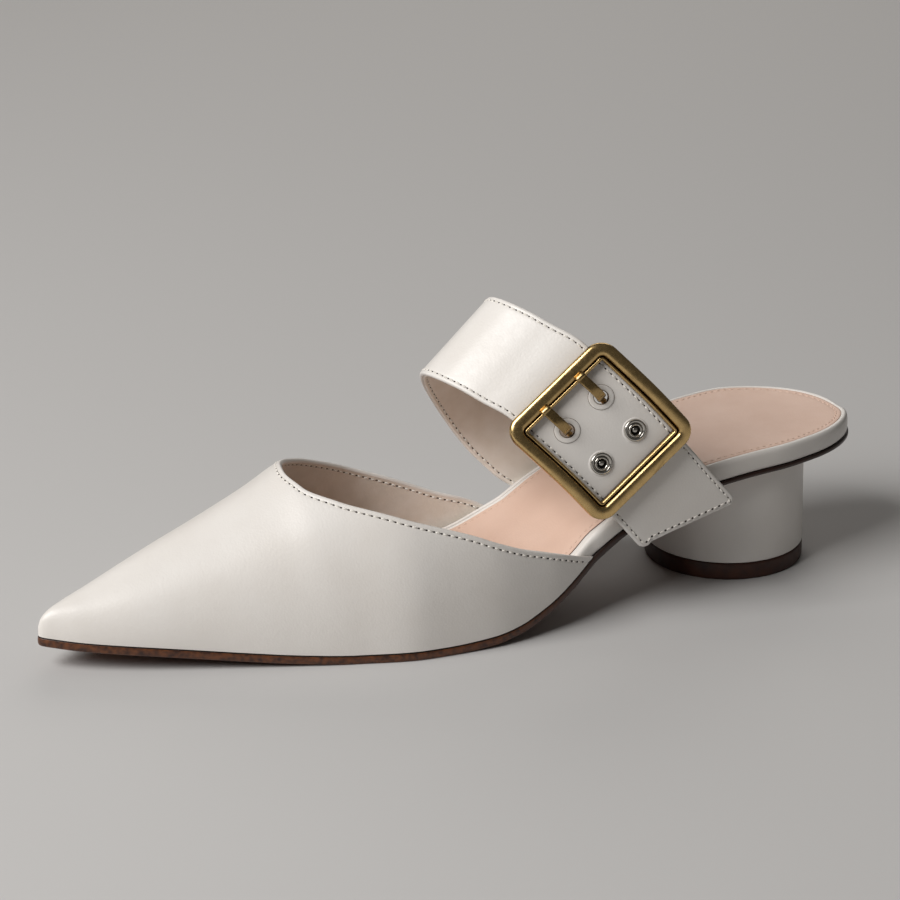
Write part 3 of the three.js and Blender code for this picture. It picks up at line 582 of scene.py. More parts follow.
def sock_half(x, side):
    """The sock's edge runs straighter than the sole's behind the end of the vamp."""
    if x > HEEL_ROUND_START:
        return layer_half(x, side, FOOTBED_INSET + SOCK_INSET)
    behind = smoothstep(x, vamp_end(side), vamp_end(side) + STRAIGHTENING)
    return footbed_half(x, side) - SOCK_INSET - WING_INSET * (1 - behind)


def place_sock(x, y, share, lift):
    base = sole_top(x) + GAP + footbed_height(x) - RECESS + BEDDING - dish(x, y)
    return Vector((x, y, base + share * SOCK_THICKNESS + lift))


SOCK_EDGE = (
    (3.4, 1, 0), (2.2, 1, 0), (1.9, 1, -0.05), (1.6, 1, -0.12), (1.3, 1, -0.05), (0.9, 1, 0),
    (0.3, 1, -0.04), (0.08, 1, -0.12), (0.0, 1, -0.24), (0.0, 0, 0.1), (0.15, 0, 0), (1.5, 0, 0),
)
# Steps of the sock's edge that carry the dark cut edge and its painted shade.
SOCK_SHADED_STEPS = (8, 9, 10)
sock_back = HEEL_BACKSET - FOOTBED_INSET - SOCK_INSET
sock_xs = closing_up(TIP_X + SOCK_TOE_GAP, sock_back, SOCK_SECTIONS)
sock_sides = long_sides(sock_xs, sock_half)
add_piece(
    "sock_lining", *slab(*sock_sides, SOCK_EDGE, place_sock, sole_shares), [nude, sock_edge_shade],
    "nude_leather", ["sock"], lambda number: int(step_of(number, sock_xs, sole_shares) in SOCK_SHADED_STEPS),
)

# Stitches: share of the pitch, share of the thread's radius, height over the leather. Needle holes, dark
# discs of painted shade: height, share of the hole's radius.
STITCH_PITCH = 2.35
THREAD_RADIUS = 0.29
STITCH_STATIONS = (
    (0.14, 0.3, -0.22), (0.21, 0.75, -0.06), (0.36, 1.0, 0.06), (0.64, 1.0, 0.06), (0.79, 0.75, -0.06),
    (0.86, 0.3, -0.22),
)
PINHOLE_RADIUS = 0.36
PINHOLE_STRETCH = 1.15
PINHOLE_STATIONS = ((-0.2, 0.8), (0.03, 1.0), (0.07, 0.55))
THREAD_SIDES = 8
LOOK_OUT = 0.5
# Painted shade: the needle holes in the sock are dark discs, coloured for the shade inside the hole.
nude_hole_shade_paint = leather("nude_painted_hole_shade", "#8A6450", "#7A5644", 0.4, 0.01, 0.8)


def thread_material(name, tone, shade):
    """Twisted bonded thread: the light and shade on its fine diagonal ply are painted as stripes, drawn a
    little coarse.
    """
    material, tree, shader = new_material(name, {"Roughness": 0.55})
    place = add_node(tree, "TexCoord").outputs["Object"]
    ply = add_node(tree, "TexWave", {
        "Vector": place, "Scale": 1 / (1.6 * MM), "Distortion": 1.5,
    }, bands_direction="DIAGONAL")
    # Painted light and shade of the ply: diagonal stripes of a lighter and a darker tone.
    tint = add_node(tree, "Mix", {
        0: ply.outputs["Fac"], 6: colour(tone), 7: colour(shade),
    }, data_type="RGBA")
    tree.links.new(tint.outputs[2], shader.inputs["Base Color"])
    return material


def runs_along(points):
    """The length run along a line of points at each of them."""
    runs = [0.0]
    for start, end in zip(points, points[1:]):
        runs.append(runs[-1] + (end - start).length)
    return runs


def segment_at(runs, run):
    """The segment of a line that a run falls in, and the share of it that is run."""
    low = clamp(bisect_right(runs, run) - 1, 0, len(runs) - 2)
    return low, (run - runs[low]) / max(runs[low + 1] - runs[low], 1e-9)


def circle(sides):
    """Cosine and sine of each equal step of a full turn."""
    return [(math.cos(2 * math.pi * j / sides), math.sin(2 * math.pi * j / sides)) for j in range(sides)]


def shifted(faces, first):
    return [tuple(first + i for i in face) for face in faces]


def seam(name, path, thread, hole_shade, slot, sunk):
    """Stitches along a path of (point, outward normal) pairs, with a dark disc of painted shade for the
    needle hole between two stitches.
    """
    points, normals = zip(*path)
    runs = runs_along(points)
    stitches = int(runs[-1] / STITCH_PITCH)
    pitch = runs[-1] / stitches
    turns = circle(THREAD_SIDES)
    stitch_faces = tube_faces(len(STITCH_STATIONS), THREAD_SIDES)
    pinhole_faces = tube_faces(len(PINHOLE_STATIONS), THREAD_SIDES)

    def along(run):
        low, share = segment_at(runs, run)
        share = clamp(share)
        normal = normals[low].lerp(normals[low + 1], share).normalized()
        heading = (points[low + 1] - points[low]).normalized()
        return points[low].lerp(points[low + 1], share), normal, heading, heading.cross(normal)

    vertices, faces, finishes = [], [], []
    for k in range(stitches):
        faces += shifted(stitch_faces, len(vertices))
        finishes += [0] * len(stitch_faces)
        for share, width, height in STITCH_STATIONS:
            point, normal, _, side = along((k + share) * pitch)
            radius = THREAD_RADIUS * width
            vertices += [
                point + normal * (height - sunk + radius * s) + side * (radius * c) for c, s in turns
            ]
        faces += shifted(pinhole_faces, len(vertices))
        finishes += [1] * len(pinhole_faces)
        point, normal, heading, side = along(k * pitch)
        for height, width in PINHOLE_STATIONS:
            radius = PINHOLE_RADIUS * width
            vertices += [
                point + normal * (height - sunk) + heading * (PINHOLE_STRETCH * radius * c)
                + side * (radius * s) for c, s in turns
            ]
    add_piece(name, vertices, faces, [thread, hole_shade], slot, finish_of=lambda number: finishes[number])


def path_on(outline, place, share, lift):
    """Points and outward normals on a placed sheet along a flat line."""
    path = []
    for point in outline:
        here = place(point.x, point.y, share, lift)
        out = place(point.x, point.y, share, lift + math.copysign(LOOK_OUT, share)) - here
        path.append((here, out.normalized()))
    return path


nude_thread = thread_material("nude_thread", "#E2C6B4", "#CDAE9A")
SOCK_SEAM_INSET = 1.6
SOCK_SEAM_START = -175.0
SOCK_SEAM_SUNK = -0.12
sock_outline = inset_outline(outline_of(*sock_sides, []), SOCK_SEAM_INSET)
sock_line = [point for point in sock_outline if point.x > SOCK_SEAM_START]
sock_path = path_on(sock_line, place_sock, 1, SOCK_SEAM_SUNK)
seam("sock_stitches", sock_path, nude_thread, nude_hole_shade_paint, "nude_leather", 0.08)

# Vamp: one piece of ivory calf leather drawn over the last, lasted under at the feather, with a
# beige kid lining. Its topline is folded over, pressed thin and stitched below the fold.
CAVITY_START = 7.5
RIDGE_OFFSET = 2.0
RIDGE_STRAIGHT = 40.0
TOPLINE_SEAM = 1.75
SEWN_DEPTH = 0.12
SEWN_WIDTH = 0.4
beige = leather(
    "beige_kid_lining", "#F0EAE2", "#E4DBCF", 0.9, 0.07, 0.68, hide=9.0,
    **{"Sheen Weight": 0.25, "Sheen Roughness": 0.5},
)
ivory_thread = thread_material("ivory_thread", "#EEEAE4", "#DAD5CC")
# Painted shade: the needle holes in the ivory are near-black discs, coloured for the shade inside the hole.
hole_shade_paint = leather("dark_painted_hole_shade", "#2B211B", "#3A2E26", 0.4, 0.01, 0.8)


def last_point(x, across):
    """Point of the last at x: across runs from -1, the outer feather, over 0, the ridge, to 1."""
    side = side_of(across)
    half = half_width(x, side)
    angle = (1 - abs(across)) * math.pi / 2
    reach = half - side * RIDGE_OFFSET * smoothstep(x, TIP_X, TIP_X + RIDGE_STRAIGHT)
    y = side * half - side * reach * (1 - math.cos(angle))
    height = INSTEP_HEIGHT * ridge_at(share_at(x))
    return Vector((x, y, sole_top(x) + GAP + height * math.sin(angle)))


def vamp_normal(x, across):
    """Direction into the shoe from the last's surface."""
    side = clamp(across, -0.97, 0.97)
    step = 0.2
    along = last_point(x + step, across) - last_point(x - step / 2, across)
    over = last_point(x, side + 0.02) - last_point(x, side - 0.02)
    return over.cross(along).normalized()


VAMP_COLUMNS = 180
vamp_across = [-1 + 2 * j / VAMP_COLUMNS for j in range(VAMP_COLUMNS + 1)]
topline_points = [last_point(x_at(topline_at(across)), across) for across in vamp_across]
TYPICAL_LENGTH = 80.0
FRONT_ROWS = 84
NEAR_TOPLINE = (
    0, 0.08, 0.18, 0.3, 0.45, 0.62, 0.8, 1.0, 1.2, 1.4, 1.6, 1.8, 2.0, 2.25, 2.55, 3, 3.6, 4.4, 5.4, 6.6,
    8, 9.8, 12,
)
front_end = 1 - NEAR_TOPLINE[-1] / TYPICAL_LENGTH
vamp_shares = [front_end * (i / FRONT_ROWS) ** 1.6 for i in range(FRONT_ROWS)]
vamp_shares += [1 - back / TYPICAL_LENGTH for back in reversed(NEAR_TOPLINE)]
TOPLINE_SEARCH = 30


def vamp_x(share, across):
    return lerp(TIP_X + 0.02, x_at(topline_at(across)), share)


def topline_distance(point, column):
    """Distance from a point of the vamp to the topline, searched near its own column."""
    near = topline_points[max(column - TOPLINE_SEARCH, 0):column + TOPLINE_SEARCH + 1]
    closest = min(range(len(near)), key=lambda i: (point - near[i]).length_squared)
    distance = (point - near[closest]).length
    for other in (closest - 1, closest + 1):
        if 0 <= other < len(near):
            edge = near[other] - near[closest]
            share = clamp((point - near[closest]).dot(edge) / edge.length_squared)
            distance = min(distance, (point - near[closest] - share * edge).length)
    return distance


def edge_round(distance, radius):
    """Share of the full thickness that is left at a distance from a rounded edge."""
    share = min(distance / radius, 1.0)
    return math.sqrt(max(1 - (1 - share) ** 2, 0.0))


EDGE_RADIUS = 0.75
FOLD_PLACE = 0.85
FOLD_WIDTH = 0.16
WING_FOOT = (0.72, 0.9)
EDGE_ZONE = 0.6
FAR_OFF = 99.0
outer_rows, inner_rows, distance_rows = [], [], []
for share in vamp_shares:
    outer_row, inner_row, distances = [], [], []
    for column, across in enumerate(vamp_across):
        x = vamp_x(share, across)
        surface = last_point(x, across)
        inward = vamp_normal(x, across)
        distance = topline_distance(surface, column) if share > EDGE_ZONE else FAR_OFF
        skive = wing_thinning(x, side_of(across)) * smoothstep(abs(across), *WING_FOOT)
        middle = lerp(VAMP_WALL, WING_EDGE, skive) / 2
        spread = middle * edge_round(distance, EDGE_RADIUS)
        sewn = groove(distance - TOPLINE_SEAM, SEWN_DEPTH, SEWN_WIDTH)
        fold = groove(distance - FOLD_PLACE, SEWN_DEPTH, FOLD_WIDTH)
        outer_row.append(surface + inward * (middle - spread + sewn))
        inner = surface + inward * (middle + spread - sewn - fold)
        if abs(across) == 1:
            inner.z = outer_row[-1].z
        inner_row.append(inner)
        distances.append(distance)
    outer_rows.append(outer_row)
    inner_rows.append(inner_row)
    distance_rows.append(distances)

width = VAMP_COLUMNS + 1
last_row = len(vamp_shares) - 1
first_inner = next(i for i in range(last_row) if outer_rows[i][0].x > TIP_X + CAVITY_START)
vamp_points = [point for row in outer_rows for point in row]
inner_start = len(vamp_points)
for row in inner_rows[first_inner:]:
    vamp_points += row
vamp_faces, lined = [], []


def outside(i, j):
    return i * width + j


def inside(i, j):
    return inner_start + (i - first_inner) * width + j


def vamp_face(corners, is_lining=False):
    if len({tuple(round(c, 5) for c in vamp_points[n]) for n in corners}) < 3:
        return
    vamp_faces.append(tuple(dict.fromkeys(corners)))
    lined.append(1 if is_lining else 0)


for i in range(last_row):
    for j in range(VAMP_COLUMNS):
        vamp_face((outside(i, j), outside(i, j + 1), outside(i + 1, j + 1), outside(i + 1, j)))
        if i >= first_inner:
            under_fold = distance_rows[i][j] > FOLD_PLACE
            vamp_face((inside(i, j), inside(i + 1, j), inside(i + 1, j + 1), inside(i, j + 1)), under_fold)
    if i >= first_inner:
        for j in (0, VAMP_COLUMNS):
            vamp_face((outside(i, j), outside(i + 1, j), inside(i + 1, j), inside(i, j)))
for j in range(VAMP_COLUMNS):
    vamp_face((
        outside(last_row, j), outside(last_row, j + 1),
        inside(last_row, j + 1), inside(last_row, j),
    ))
for j in range(VAMP_COLUMNS // 2):
    back = VAMP_COLUMNS - j
    row = first_inner
    vamp_face((inside(row, j), inside(row, j + 1), inside(row, back - 1), inside(row, back)), True)
    vamp_face((outside(0, j), outside(0, back), outside(0, back - 1), outside(0, j + 1)))
for i in range(first_inner):
    vamp_face((outside(i, 0), outside(i + 1, 0), outside(i + 1, VAMP_COLUMNS), outside(i, VAMP_COLUMNS)))
vamp_face((
    outside(first_inner, 0), inside(first_inner, 0),
    inside(first_inner, VAMP_COLUMNS), outside(first_inner, VAMP_COLUMNS),
))
add_piece(
    "vamp_shell", vamp_points, vamp_faces, [ivory, beige], "ivory_leather", ["vamp"],
    lambda number: lined[number],
)


def topline_path(rows, outward):
    """The line at the seam's distance below the topline, with the side that it is seen from."""
    path = []
    for j in range(2, VAMP_COLUMNS - 1):
        for i in range(last_row, 0, -1):
            near, far = distance_rows[i][j], distance_rows[i - 1][j]
            if near <= TOPLINE_SEAM <= far:
                share = (TOPLINE_SEAM - near) / (far - near)
                point = rows[i][j].lerp(rows[i - 1][j], share)
                x = vamp_x(vamp_shares[i], vamp_across[j])
                path.append((point, -outward * vamp_normal(x, vamp_across[j])))
                break
    return path


for name, rows, outward in (
    ("topline_stitches", outer_rows, 1), ("topline_stitches_inside", inner_rows, -1),
):
    seam(name, topline_path(rows, outward), ivory_thread, hole_shade_paint, "ivory_leather", 0.02)

# Strap: a wide band of ivory calf over a beige lining, both edges stitched together, lasted under the
# inner side of the footbed. It crosses the instep and ends in a slanted tail on the outer side.
STRAP_WIDTH = 31.5
STRAP_THICKNESS = 2.2
STRAP_AT = 0.696
STRAP_REACH = 0.456 * BALL_WIDTH
STRAP_CREST = 1.381 * INSTEP_HEIGHT
STRAP_LEAN = math.radians(43)
TAIL_SPARE = 1.5
TAIL_SKEW = 12.0
TAIL_CORNER = 3.0
TUCK_DEPTH = 1.8
TUCK_LENGTH = 6.0
STRAP_SEAM = 1.5
TAIL_STEPS = 150
CORNER_STEPS = 12
CORNER_DRAWN_BACK = 0.4
width_axis = Vector((math.cos(STRAP_LEAN), 0, math.sin(STRAP_LEAN)))
rise_axis = Vector((-math.sin(STRAP_LEAN), 0, math.cos(STRAP_LEAN)))
side_axis = Vector((0, 1, 0))

# Loop of the strap's middle from the inner feather over the instep to the tail: share of the reach
# across, share of the crest up, and share of the width that it slides along its lean. The last two were
# converted by calculation from rows listed for another zero point.
STRAP_LOOP = (
    (0.662, -0.188, -0.673), (0.662, -0.001, -0.683), (0.669, 0.134, -0.723), (0.728, 0.241, -0.763),
    (0.794, 0.352, -0.763), (0.817, 0.462, -0.743), (0.794, 0.574, -0.708), (0.706, 0.711, -0.663),
    (0.528, 0.863, -0.613), (0.319, 0.959, -0.573), (0.111, 1, -0.543), (-0.083, 0.985, -0.498),
    (-0.264, 0.932, -0.443), (-0.403, 0.871, -0.403), (-0.611, 0.761, -0.338),
    (-0.831, 0.498, -0.333), (-0.969, 0.173, -0.363), (-0.997, -0.035, -0.393), (-1, -0.222, -0.408),
)
strap_origin = Vector((x_at(STRAP_AT), 0, sole_top(x_at(STRAP_AT))))


def smooth_line(points, steps):
    """Fine points on a centripetal spline through the given ones, with the knot share of each."""
    line = []
    ends = [2 * points[0] - points[1], *points, 2 * points[-1] - points[-2]]
    for k in range(len(points) - 1):
        p0, p1, p2, p3 = ends[k:k + 4]
        t1 = math.sqrt(max((p1 - p0).length, 1e-6))
        t2 = t1 + math.sqrt((p2 - p1).length)
        t3 = t2 + math.sqrt(max((p3 - p2).length, 1e-6))
        for step in range(steps):
            t = lerp(t1, t2, step / steps)
            a1 = p0.lerp(p1, t / t1)
            a2 = p1.lerp(p2, (t - t1) / (t2 - t1))
            a3 = p2.lerp(p3, (t - t2) / (t3 - t2))
            b1 = a1.lerp(a2, t / t2)
            b2 = a2.lerp(a3, (t - t1) / (t3 - t1))
            share = (k + step / steps) / (len(points) - 1)
            line.append((b1.lerp(b2, (t - t1) / (t2 - t1)), share))
    line.append((points[-1], 1.0))
    return line


def follow(points, runs, run):
    """Place and heading at a run along a fine line, then the segment there and the share of it."""
    low, share = segment_at(runs, run)
    start, end = points[low], points[low + 1]
    before, after = points[max(low - 1, 0)], points[min(low + 2, len(points) - 1)]
    heading = (end - before).normalized().lerp((after - start).normalized(), clamp(share)).normalized()
    return start.lerp(end, share), heading, low, share


loop_knots = [Vector((across * STRAP_REACH, up * STRAP_CREST)) for across, up, _ in STRAP_LOOP]
loop_points, loop_shares = zip(*smooth_line(loop_knots, 60))
loop_runs = runs_along(loop_points)
loop_length = loop_runs[-1]
last_knot = len(STRAP_LOOP) - 1
slide_knots = [i / last_knot for i in range(last_knot + 1)]
slide_at = curve_through(slide_knots, [slide for _, _, slide in STRAP_LOOP])


def strap_point(run, over, out):
    """run along the loop, over its width from the front edge, out from its middle."""
    flat, heading, low, share = follow(loop_points, loop_runs, run)
    slide = slide_at(lerp(loop_shares[low], loop_shares[low + 1], share)) * STRAP_WIDTH
    return (
        strap_origin + side_axis * (flat.x + heading.y * out) + rise_axis * (flat.y - heading.x * out)
        + width_axis * (slide + over)
    )


def run_clear_of_sole(point_at, over, reach):
    """The run, up to reach, at which a strip comes out from under the footbed."""
    near, far = 0.0, reach
    for _ in range(30):
        middle = (near + far) / 2
        point = point_at(middle, over, 0)
        if point.z < sole_top(point.x) + 2 * GAP:
            near = middle
        else:
            far = middle
    return far


tail_front = loop_length - TAIL_SKEW - TAIL_SPARE
face = STRAP_THICKNESS / 2
foot_front, foot_rear = [
    run_clear_of_sole(strap_point, over, 0.3 * loop_length) for over in (0, STRAP_WIDTH)
]


def foot_run(over):
    return lerp(foot_front, foot_rear, over / STRAP_WIDTH)


def tail_side(edge_over, inward):
    """One long side of the flat strap, ending in its rounded corner."""
    slant = TAIL_SKEW / STRAP_WIDTH
    back = TAIL_CORNER * (1 + inward * CORNER_DRAWN_BACK * slant)
    centre = Vector((tail_front + slant * edge_over - back, edge_over + inward * TAIL_CORNER))
    start = foot_run(edge_over)
    side = [Vector((lerp(start, centre.x, i / TAIL_STEPS), edge_over)) for i in range(TAIL_STEPS)]
    sweep = math.pi / 2 + inward * math.atan(slant)
    for i in range(CORNER_STEPS + 1):
        turn = sweep * i / CORNER_STEPS
        side.append(centre + TAIL_CORNER * Vector((math.sin(turn), -inward * math.cos(turn))))
    return side


strap_sides = [tail_side(0.0, 1), tail_side(STRAP_WIDTH, -1)]


def tucked(past_foot):
    """How far a strip is drawn in under the rim, at a run past its foot."""
    return -TUCK_DEPTH * (1 - smoothstep(past_foot, 0, TUCK_LENGTH))


def place_strap(run, over, share, lift):
    from_edge = min(over, STRAP_WIDTH - over)
    sewn = groove(from_edge - STRAP_SEAM, SEWN_DEPTH, SEWN_WIDTH) if abs(share) == 1 else 0.0
    return strap_point(run, over, share * (face - sewn) + lift + tucked(run - foot_run(over)))


EDGE_MILLIMETRES = (0.2, 0.4, 0.6, 0.8, 1.0, 1.25, 1.6, 2.2, 3.2, 5, 8, 12)
strap_shares = [back / STRAP_WIDTH for back in EDGE_MILLIMETRES]
strap_shares += [0.5] + [1 - share for share in reversed(strap_shares)]
STRAP_EDGE = (
    (0.9, 1, 0), (0.62, 1, -0.02), (0.4, 1, -0.08), (0.2, 1, -0.22), (0.06, 1, -0.42), (0.0, 1, -0.68),
    (0.0, 0, -0.05), (0.1, 0, -0.22), (0.3, 0, -0.3), (0.9, 0, -0.3),
)
LINING_EDGE = (
    (1.1, 0, -0.34), (0.5, 0, -0.34), (0.36, 0, -0.42), (0.32, 0, -0.6), (0.34, -1, 0.28),
    (0.42, -1, 0.12), (0.6, -1, 0.03), (0.9, -1, 0), (1.2, -1, 0),
)
strap_upper = add_piece(
    "strap_band", *slab(*strap_sides, STRAP_EDGE, place_strap, strap_shares),
    [ivory], "ivory_leather", ["strap"],
)
strap_lining = add_piece(
    "strap_lining", *slab(*strap_sides, LINING_EDGE, place_strap, strap_shares), [beige], "ivory_leather",
)

# The seam runs along the front edge, round the tail and back along the rear edge
tail_shares = even_shares(12)
strap_outline = inset_outline(outline_of(*strap_sides, tail_shares), STRAP_SEAM)
strap_line = strap_outline[:2 * len(strap_sides[0]) + len(tail_shares)]
for name, share in (("strap_stitches", 1), ("strap_stitches_inside", -1)):
    strap_path = path_on(strap_line, place_strap, share, 0)
    seam(name, strap_path, ivory_thread, hole_shade_paint, "ivory_leather", 0.03)

# Holes: two in front for the prongs, each in a raised leather ring, and two behind with eyelets of
# nickelled brass, whose domed flanges are set on the leather.
BUCKLE_FROM_TAIL = 37.6
BUCKLE_TURN = math.radians(3.5)
HOLE_ROW_PITCH = 14.6
HOLE_PITCH = 14.2
PRONG_HOLE = 4.6
EYELET_BARREL = 4.4
buckle_run = tail_front - BUCKLE_FROM_TAIL
askew = math.sin(BUCKLE_TURN)
hole_overs = (-HOLE_PITCH / 2, HOLE_PITCH / 2)
prong_row = -HOLE_ROW_PITCH / 2
eyelet_row = HOLE_ROW_PITCH / 2


def at_buckle(along, over, out):
    """along towards the tail and over to the rear, both from the buckle's middle."""
    return strap_point(buckle_run + along + askew * over, STRAP_WIDTH / 2 + over, out)


def round_plug(along, over, radius):
    """A round plug through the strap, three times as deep as it is."""
    turns = circle(40)
    points = [
        at_buckle(along + radius * c, over + radius * s, out)
        for out in (-3 * face, 3 * face) for c, s in turns
    ]
    return points, tube_faces(2, len(turns))


def punch(piece, plugs):
    """Cuts plugs out of a piece for good."""
    cutters = []
    for number, (points, faces) in enumerate(plugs):
        mesh = bpy.data.meshes.new("punch")
        mesh.from_pydata([point * MM for point in points], [], faces)
        shape = bmesh.new()
        shape.from_mesh(mesh)
        bmesh.ops.recalc_face_normals(shape, faces=shape.faces)
        shape.to_mesh(mesh)
        shape.free()
        cutter = bpy.data.objects.new("punch", mesh)
        bpy.context.scene.collection.objects.link(cutter)
        cutters.append(cutter)
        cut = piece.modifiers.new(f"hole_{number}", "BOOLEAN")
        cut.operation = "DIFFERENCE"
        cut.solver = "MANIFOLD"
        cut.object = cutter
    bpy.context.view_layer.update()
    shown = piece.evaluated_get(bpy.context.evaluated_depsgraph_get())
    punched = bpy.data.meshes.new_from_object(shown)
    piece.modifiers.clear()
    piece.data = punched
    for cutter in cutters:
        bpy.data.objects.remove(cutter)


plugs = [round_plug(prong_row, over, PRONG_HOLE / 2) for over in hole_overs]
plugs += [round_plug(eyelet_row, over, EYELET_BARREL / 2 + GAP) for over in hole_overs]
for piece in (strap_upper, strap_lining):
    punch(piece, plugs)


def turned_ring(section, along, over):
    """A ring on the strap's face: the section steps round it as (radius, height over the face)."""
    turns = circle(56)
    vertices = [
        at_buckle(along + radius * c, over + radius * s, face + out)
        for c, s in turns for radius, out in section
    ]
    return vertices, band_faces(len(turns), len(section), closed=True)


def nickelled(name, tone, low, high):
    """Bright nickel over brass: a hard mirror gloss that handling has dulled in small patches."""
    material, tree, shader = new_material(name, {"Metallic": 1.0, "Base Color": colour(tone)})
    place = add_node(tree, "TexCoord").outputs["Object"]
    wear = add_node(tree, "TexNoise", {"Vector": place, "Scale": 1 / (1.2 * MM), "Detail": 5.0})
    gloss = add_node(tree, "MapRange", {"Value": wear.outputs["Fac"], "To Min": low, "To Max": high})
    tree.links.new(gloss.outputs[0], shader.inputs["Roughness"])
    return material


nickel = nickelled("nickelled_brass", "#C4C0B9", 0.14, 0.34)
# Painted shade: the eyelet's groove and its pit are coloured near black for the shade in them.
eyelet_pit_shade = nickelled("nickel_painted_pit_shade", "#3A3631", 0.3, 0.55)
# Dark faces of the prong-hole rings: the cut edge at the ring's foot is partly cut leather, partly painted
# shade; the walls inside the hole are painted shade.
ring_edge_shade = leather("cut_edge_painted_shade", "#6B5A4A", "#57483B", 0.5, 0.03, 0.75)
RING_SECTION = (
    (4.0, -0.05), (3.84, 0.16), (3.72, 0.28), (3.4, 0.31), (3.0, 0.31), (2.6, 0.3), (2.3, 0.22),
    (2.14, 0.06), (2.08, -0.2), (2.08, -0.9), (2.28, -0.9), (2.28, -0.2), (2.5, -0.05),
)
RING_SHADE_FACES = (0, 6, 7, 8, 9, 10)
SEAT_SECTION = ((4.0, -0.04), (3.9, 0.1), (3.65, 0.17), (3.42, 0.1), (3.4, -0.1), (3.7, -0.1))
EYELET_SECTION = (
    (3.42, 0.06), (3.42, 0.3), (3.3, 0.52), (3.05, 0.64), (2.75, 0.62), (2.5, 0.46), (2.36, 0.3),
    (2.26, 0.28), (2.16, 0.46), (2.0, 0.62), (1.78, 0.66), (1.56, 0.52), (1.44, 0.2), (1.4, -0.7),
    (1.26, -0.8), (1.02, -0.8), (0.92, -0.3), (0.78, -0.02), (0.45, 0.12), (0.0, 0.16),
    (0.0, -2.1), (2.15, -2.1), (2.2, 0.02),
)
EYELET_PIT_FACES = (6, 12, 13, 14, 15)
for place, over in zip(("front", "rear"), hole_overs):
    add_piece(
        f"hole_ring_{place}", *turned_ring(RING_SECTION, prong_row, over),
        [ivory, ring_edge_shade], "ivory_leather",
        finish_of=lambda number: int(number % len(RING_SECTION) in RING_SHADE_FACES),
    )
    add_piece(
        f"eyelet_seat_{place}", *turned_ring(SEAT_SECTION, eyelet_row, over),
        [ivory], "ivory_leather",
    )
    add_piece(
        f"eyelet_dome_{place}", *turned_ring(EYELET_SECTION, eyelet_row, over), [nickel, eyelet_pit_shade],
        "nickel", [f"eyelet_{place}"], lambda number: int(number % len(EYELET_SECTION) in EYELET_PIT_FACES),
    )

# Buckle: a square frame of cast brass with round corners, a broad rounded band outside and a thin lip
# inside, and one bar across its middle. It is plated in antique gold, dark where polishing misses.
FRAME_ALONG = 41.5
FRAME_ACROSS = 41.3
FRAME_BAR = 5.4
FRAME_DEPTH = 3.2
FRAME_CORNER = 2.9
BAR_RADIUS = 1.1
BAR_BEND = 1.6
HOOK_RADIUS = 0.9
SMALL_GAP = 0.2
SQUARE_POWER = 0.35
PLAIN_PATINA = 0.2
POST_INSET = 0.1
BEND_CUT = 0.3 * BAR_BEND
frame_low = face + GAP
bar_out = -(face + GAP + 2 * HOOK_RADIUS + SMALL_GAP + BAR_RADIUS)
half_along = (FRAME_ALONG - FRAME_BAR) / 2
half_over = (FRAME_ACROSS - FRAME_BAR) / 2

gold, gold_tree, gold_shader = new_material("antique_gold_plate", {"Metallic": 1.0})
gold_place = add_node(gold_tree, "TexCoord").outputs["Object"]
patina = add_node(gold_tree, "Attribute", attribute_name="patina")
tarnish = add_node(gold_tree, "TexNoise", {
    "Vector": gold_place, "Scale": 1 / (3.5 * MM), "Detail": 6.0, "Roughness": 0.65,
})
darkness = add_node(gold_tree, "Math", {
    0: tarnish.outputs["Fac"], 1: 0.5, 2: patina.outputs["Fac"],
}, operation="MULTIPLY_ADD")
worn = add_node(gold_tree, "MapRange", {"Value": darkness.outputs[0], "From Min": 0.22, "From Max": 0.85})
gold_tint = add_node(gold_tree, "Mix", {
    0: worn.outputs[0], 6: colour("#E0BF84"), 7: colour("#46301A"),
}, data_type="RGBA")
brushing = add_node(gold_tree, "TexNoise", {"Vector": gold_place, "Scale": 1 / (0.9 * MM), "Detail": 4.0})
gold_gloss = add_node(gold_tree, "MapRange", {
    "Value": brushing.outputs["Fac"], "To Min": 0.16, "To Max": 0.36,
})
gold_bump = add_node(gold_tree, "Bump", {
    "Height": brushing.outputs["Fac"], "Strength": 0.25, "Distance": 0.03 * MM,
})
gold_tree.links.new(gold_tint.outputs[2], gold_shader.inputs["Base Color"])
gold_tree.links.new(gold_gloss.outputs[0], gold_shader.inputs["Roughness"])
gold_tree.links.new(gold_bump.outputs["Normal"], gold_shader.inputs["Normal"])

# Section of the frame: side, outward from the bar's middle, height, and how dark the patina lies
FRAME_SECTION = (
    (2.35, 0.0, 0.6), (2.62, 0.2, 0.5), (2.7, 0.6, 0.35), (2.7, 1.6, 0.2), (2.62, 2.2, 0.1),
    (2.4, 2.7, 0.05),
    (2.0, 3.02, 0.0), (1.4, 3.15, 0.0), (0.6, 3.18, 0.0), (-0.1, 3.15, 0.0), (-0.6, 3.02, 0.05),
    (-1.0, 2.75, 0.1), (-1.25, 2.35, 0.3), (-1.38, 1.95, 0.8), (-1.5, 1.8, 1.0), (-1.64, 1.92, 0.8),
    (-1.76, 2.15, 0.2), (-2.0, 2.28, 0.05), (-2.3, 2.25, 0.05), (-2.55, 2.0, 0.1), (-2.68, 1.6, 0.25),
    (-2.7, 1.0, 0.45), (-2.7, 0.4, 0.7), (-2.5, 0.05, 0.7),
)


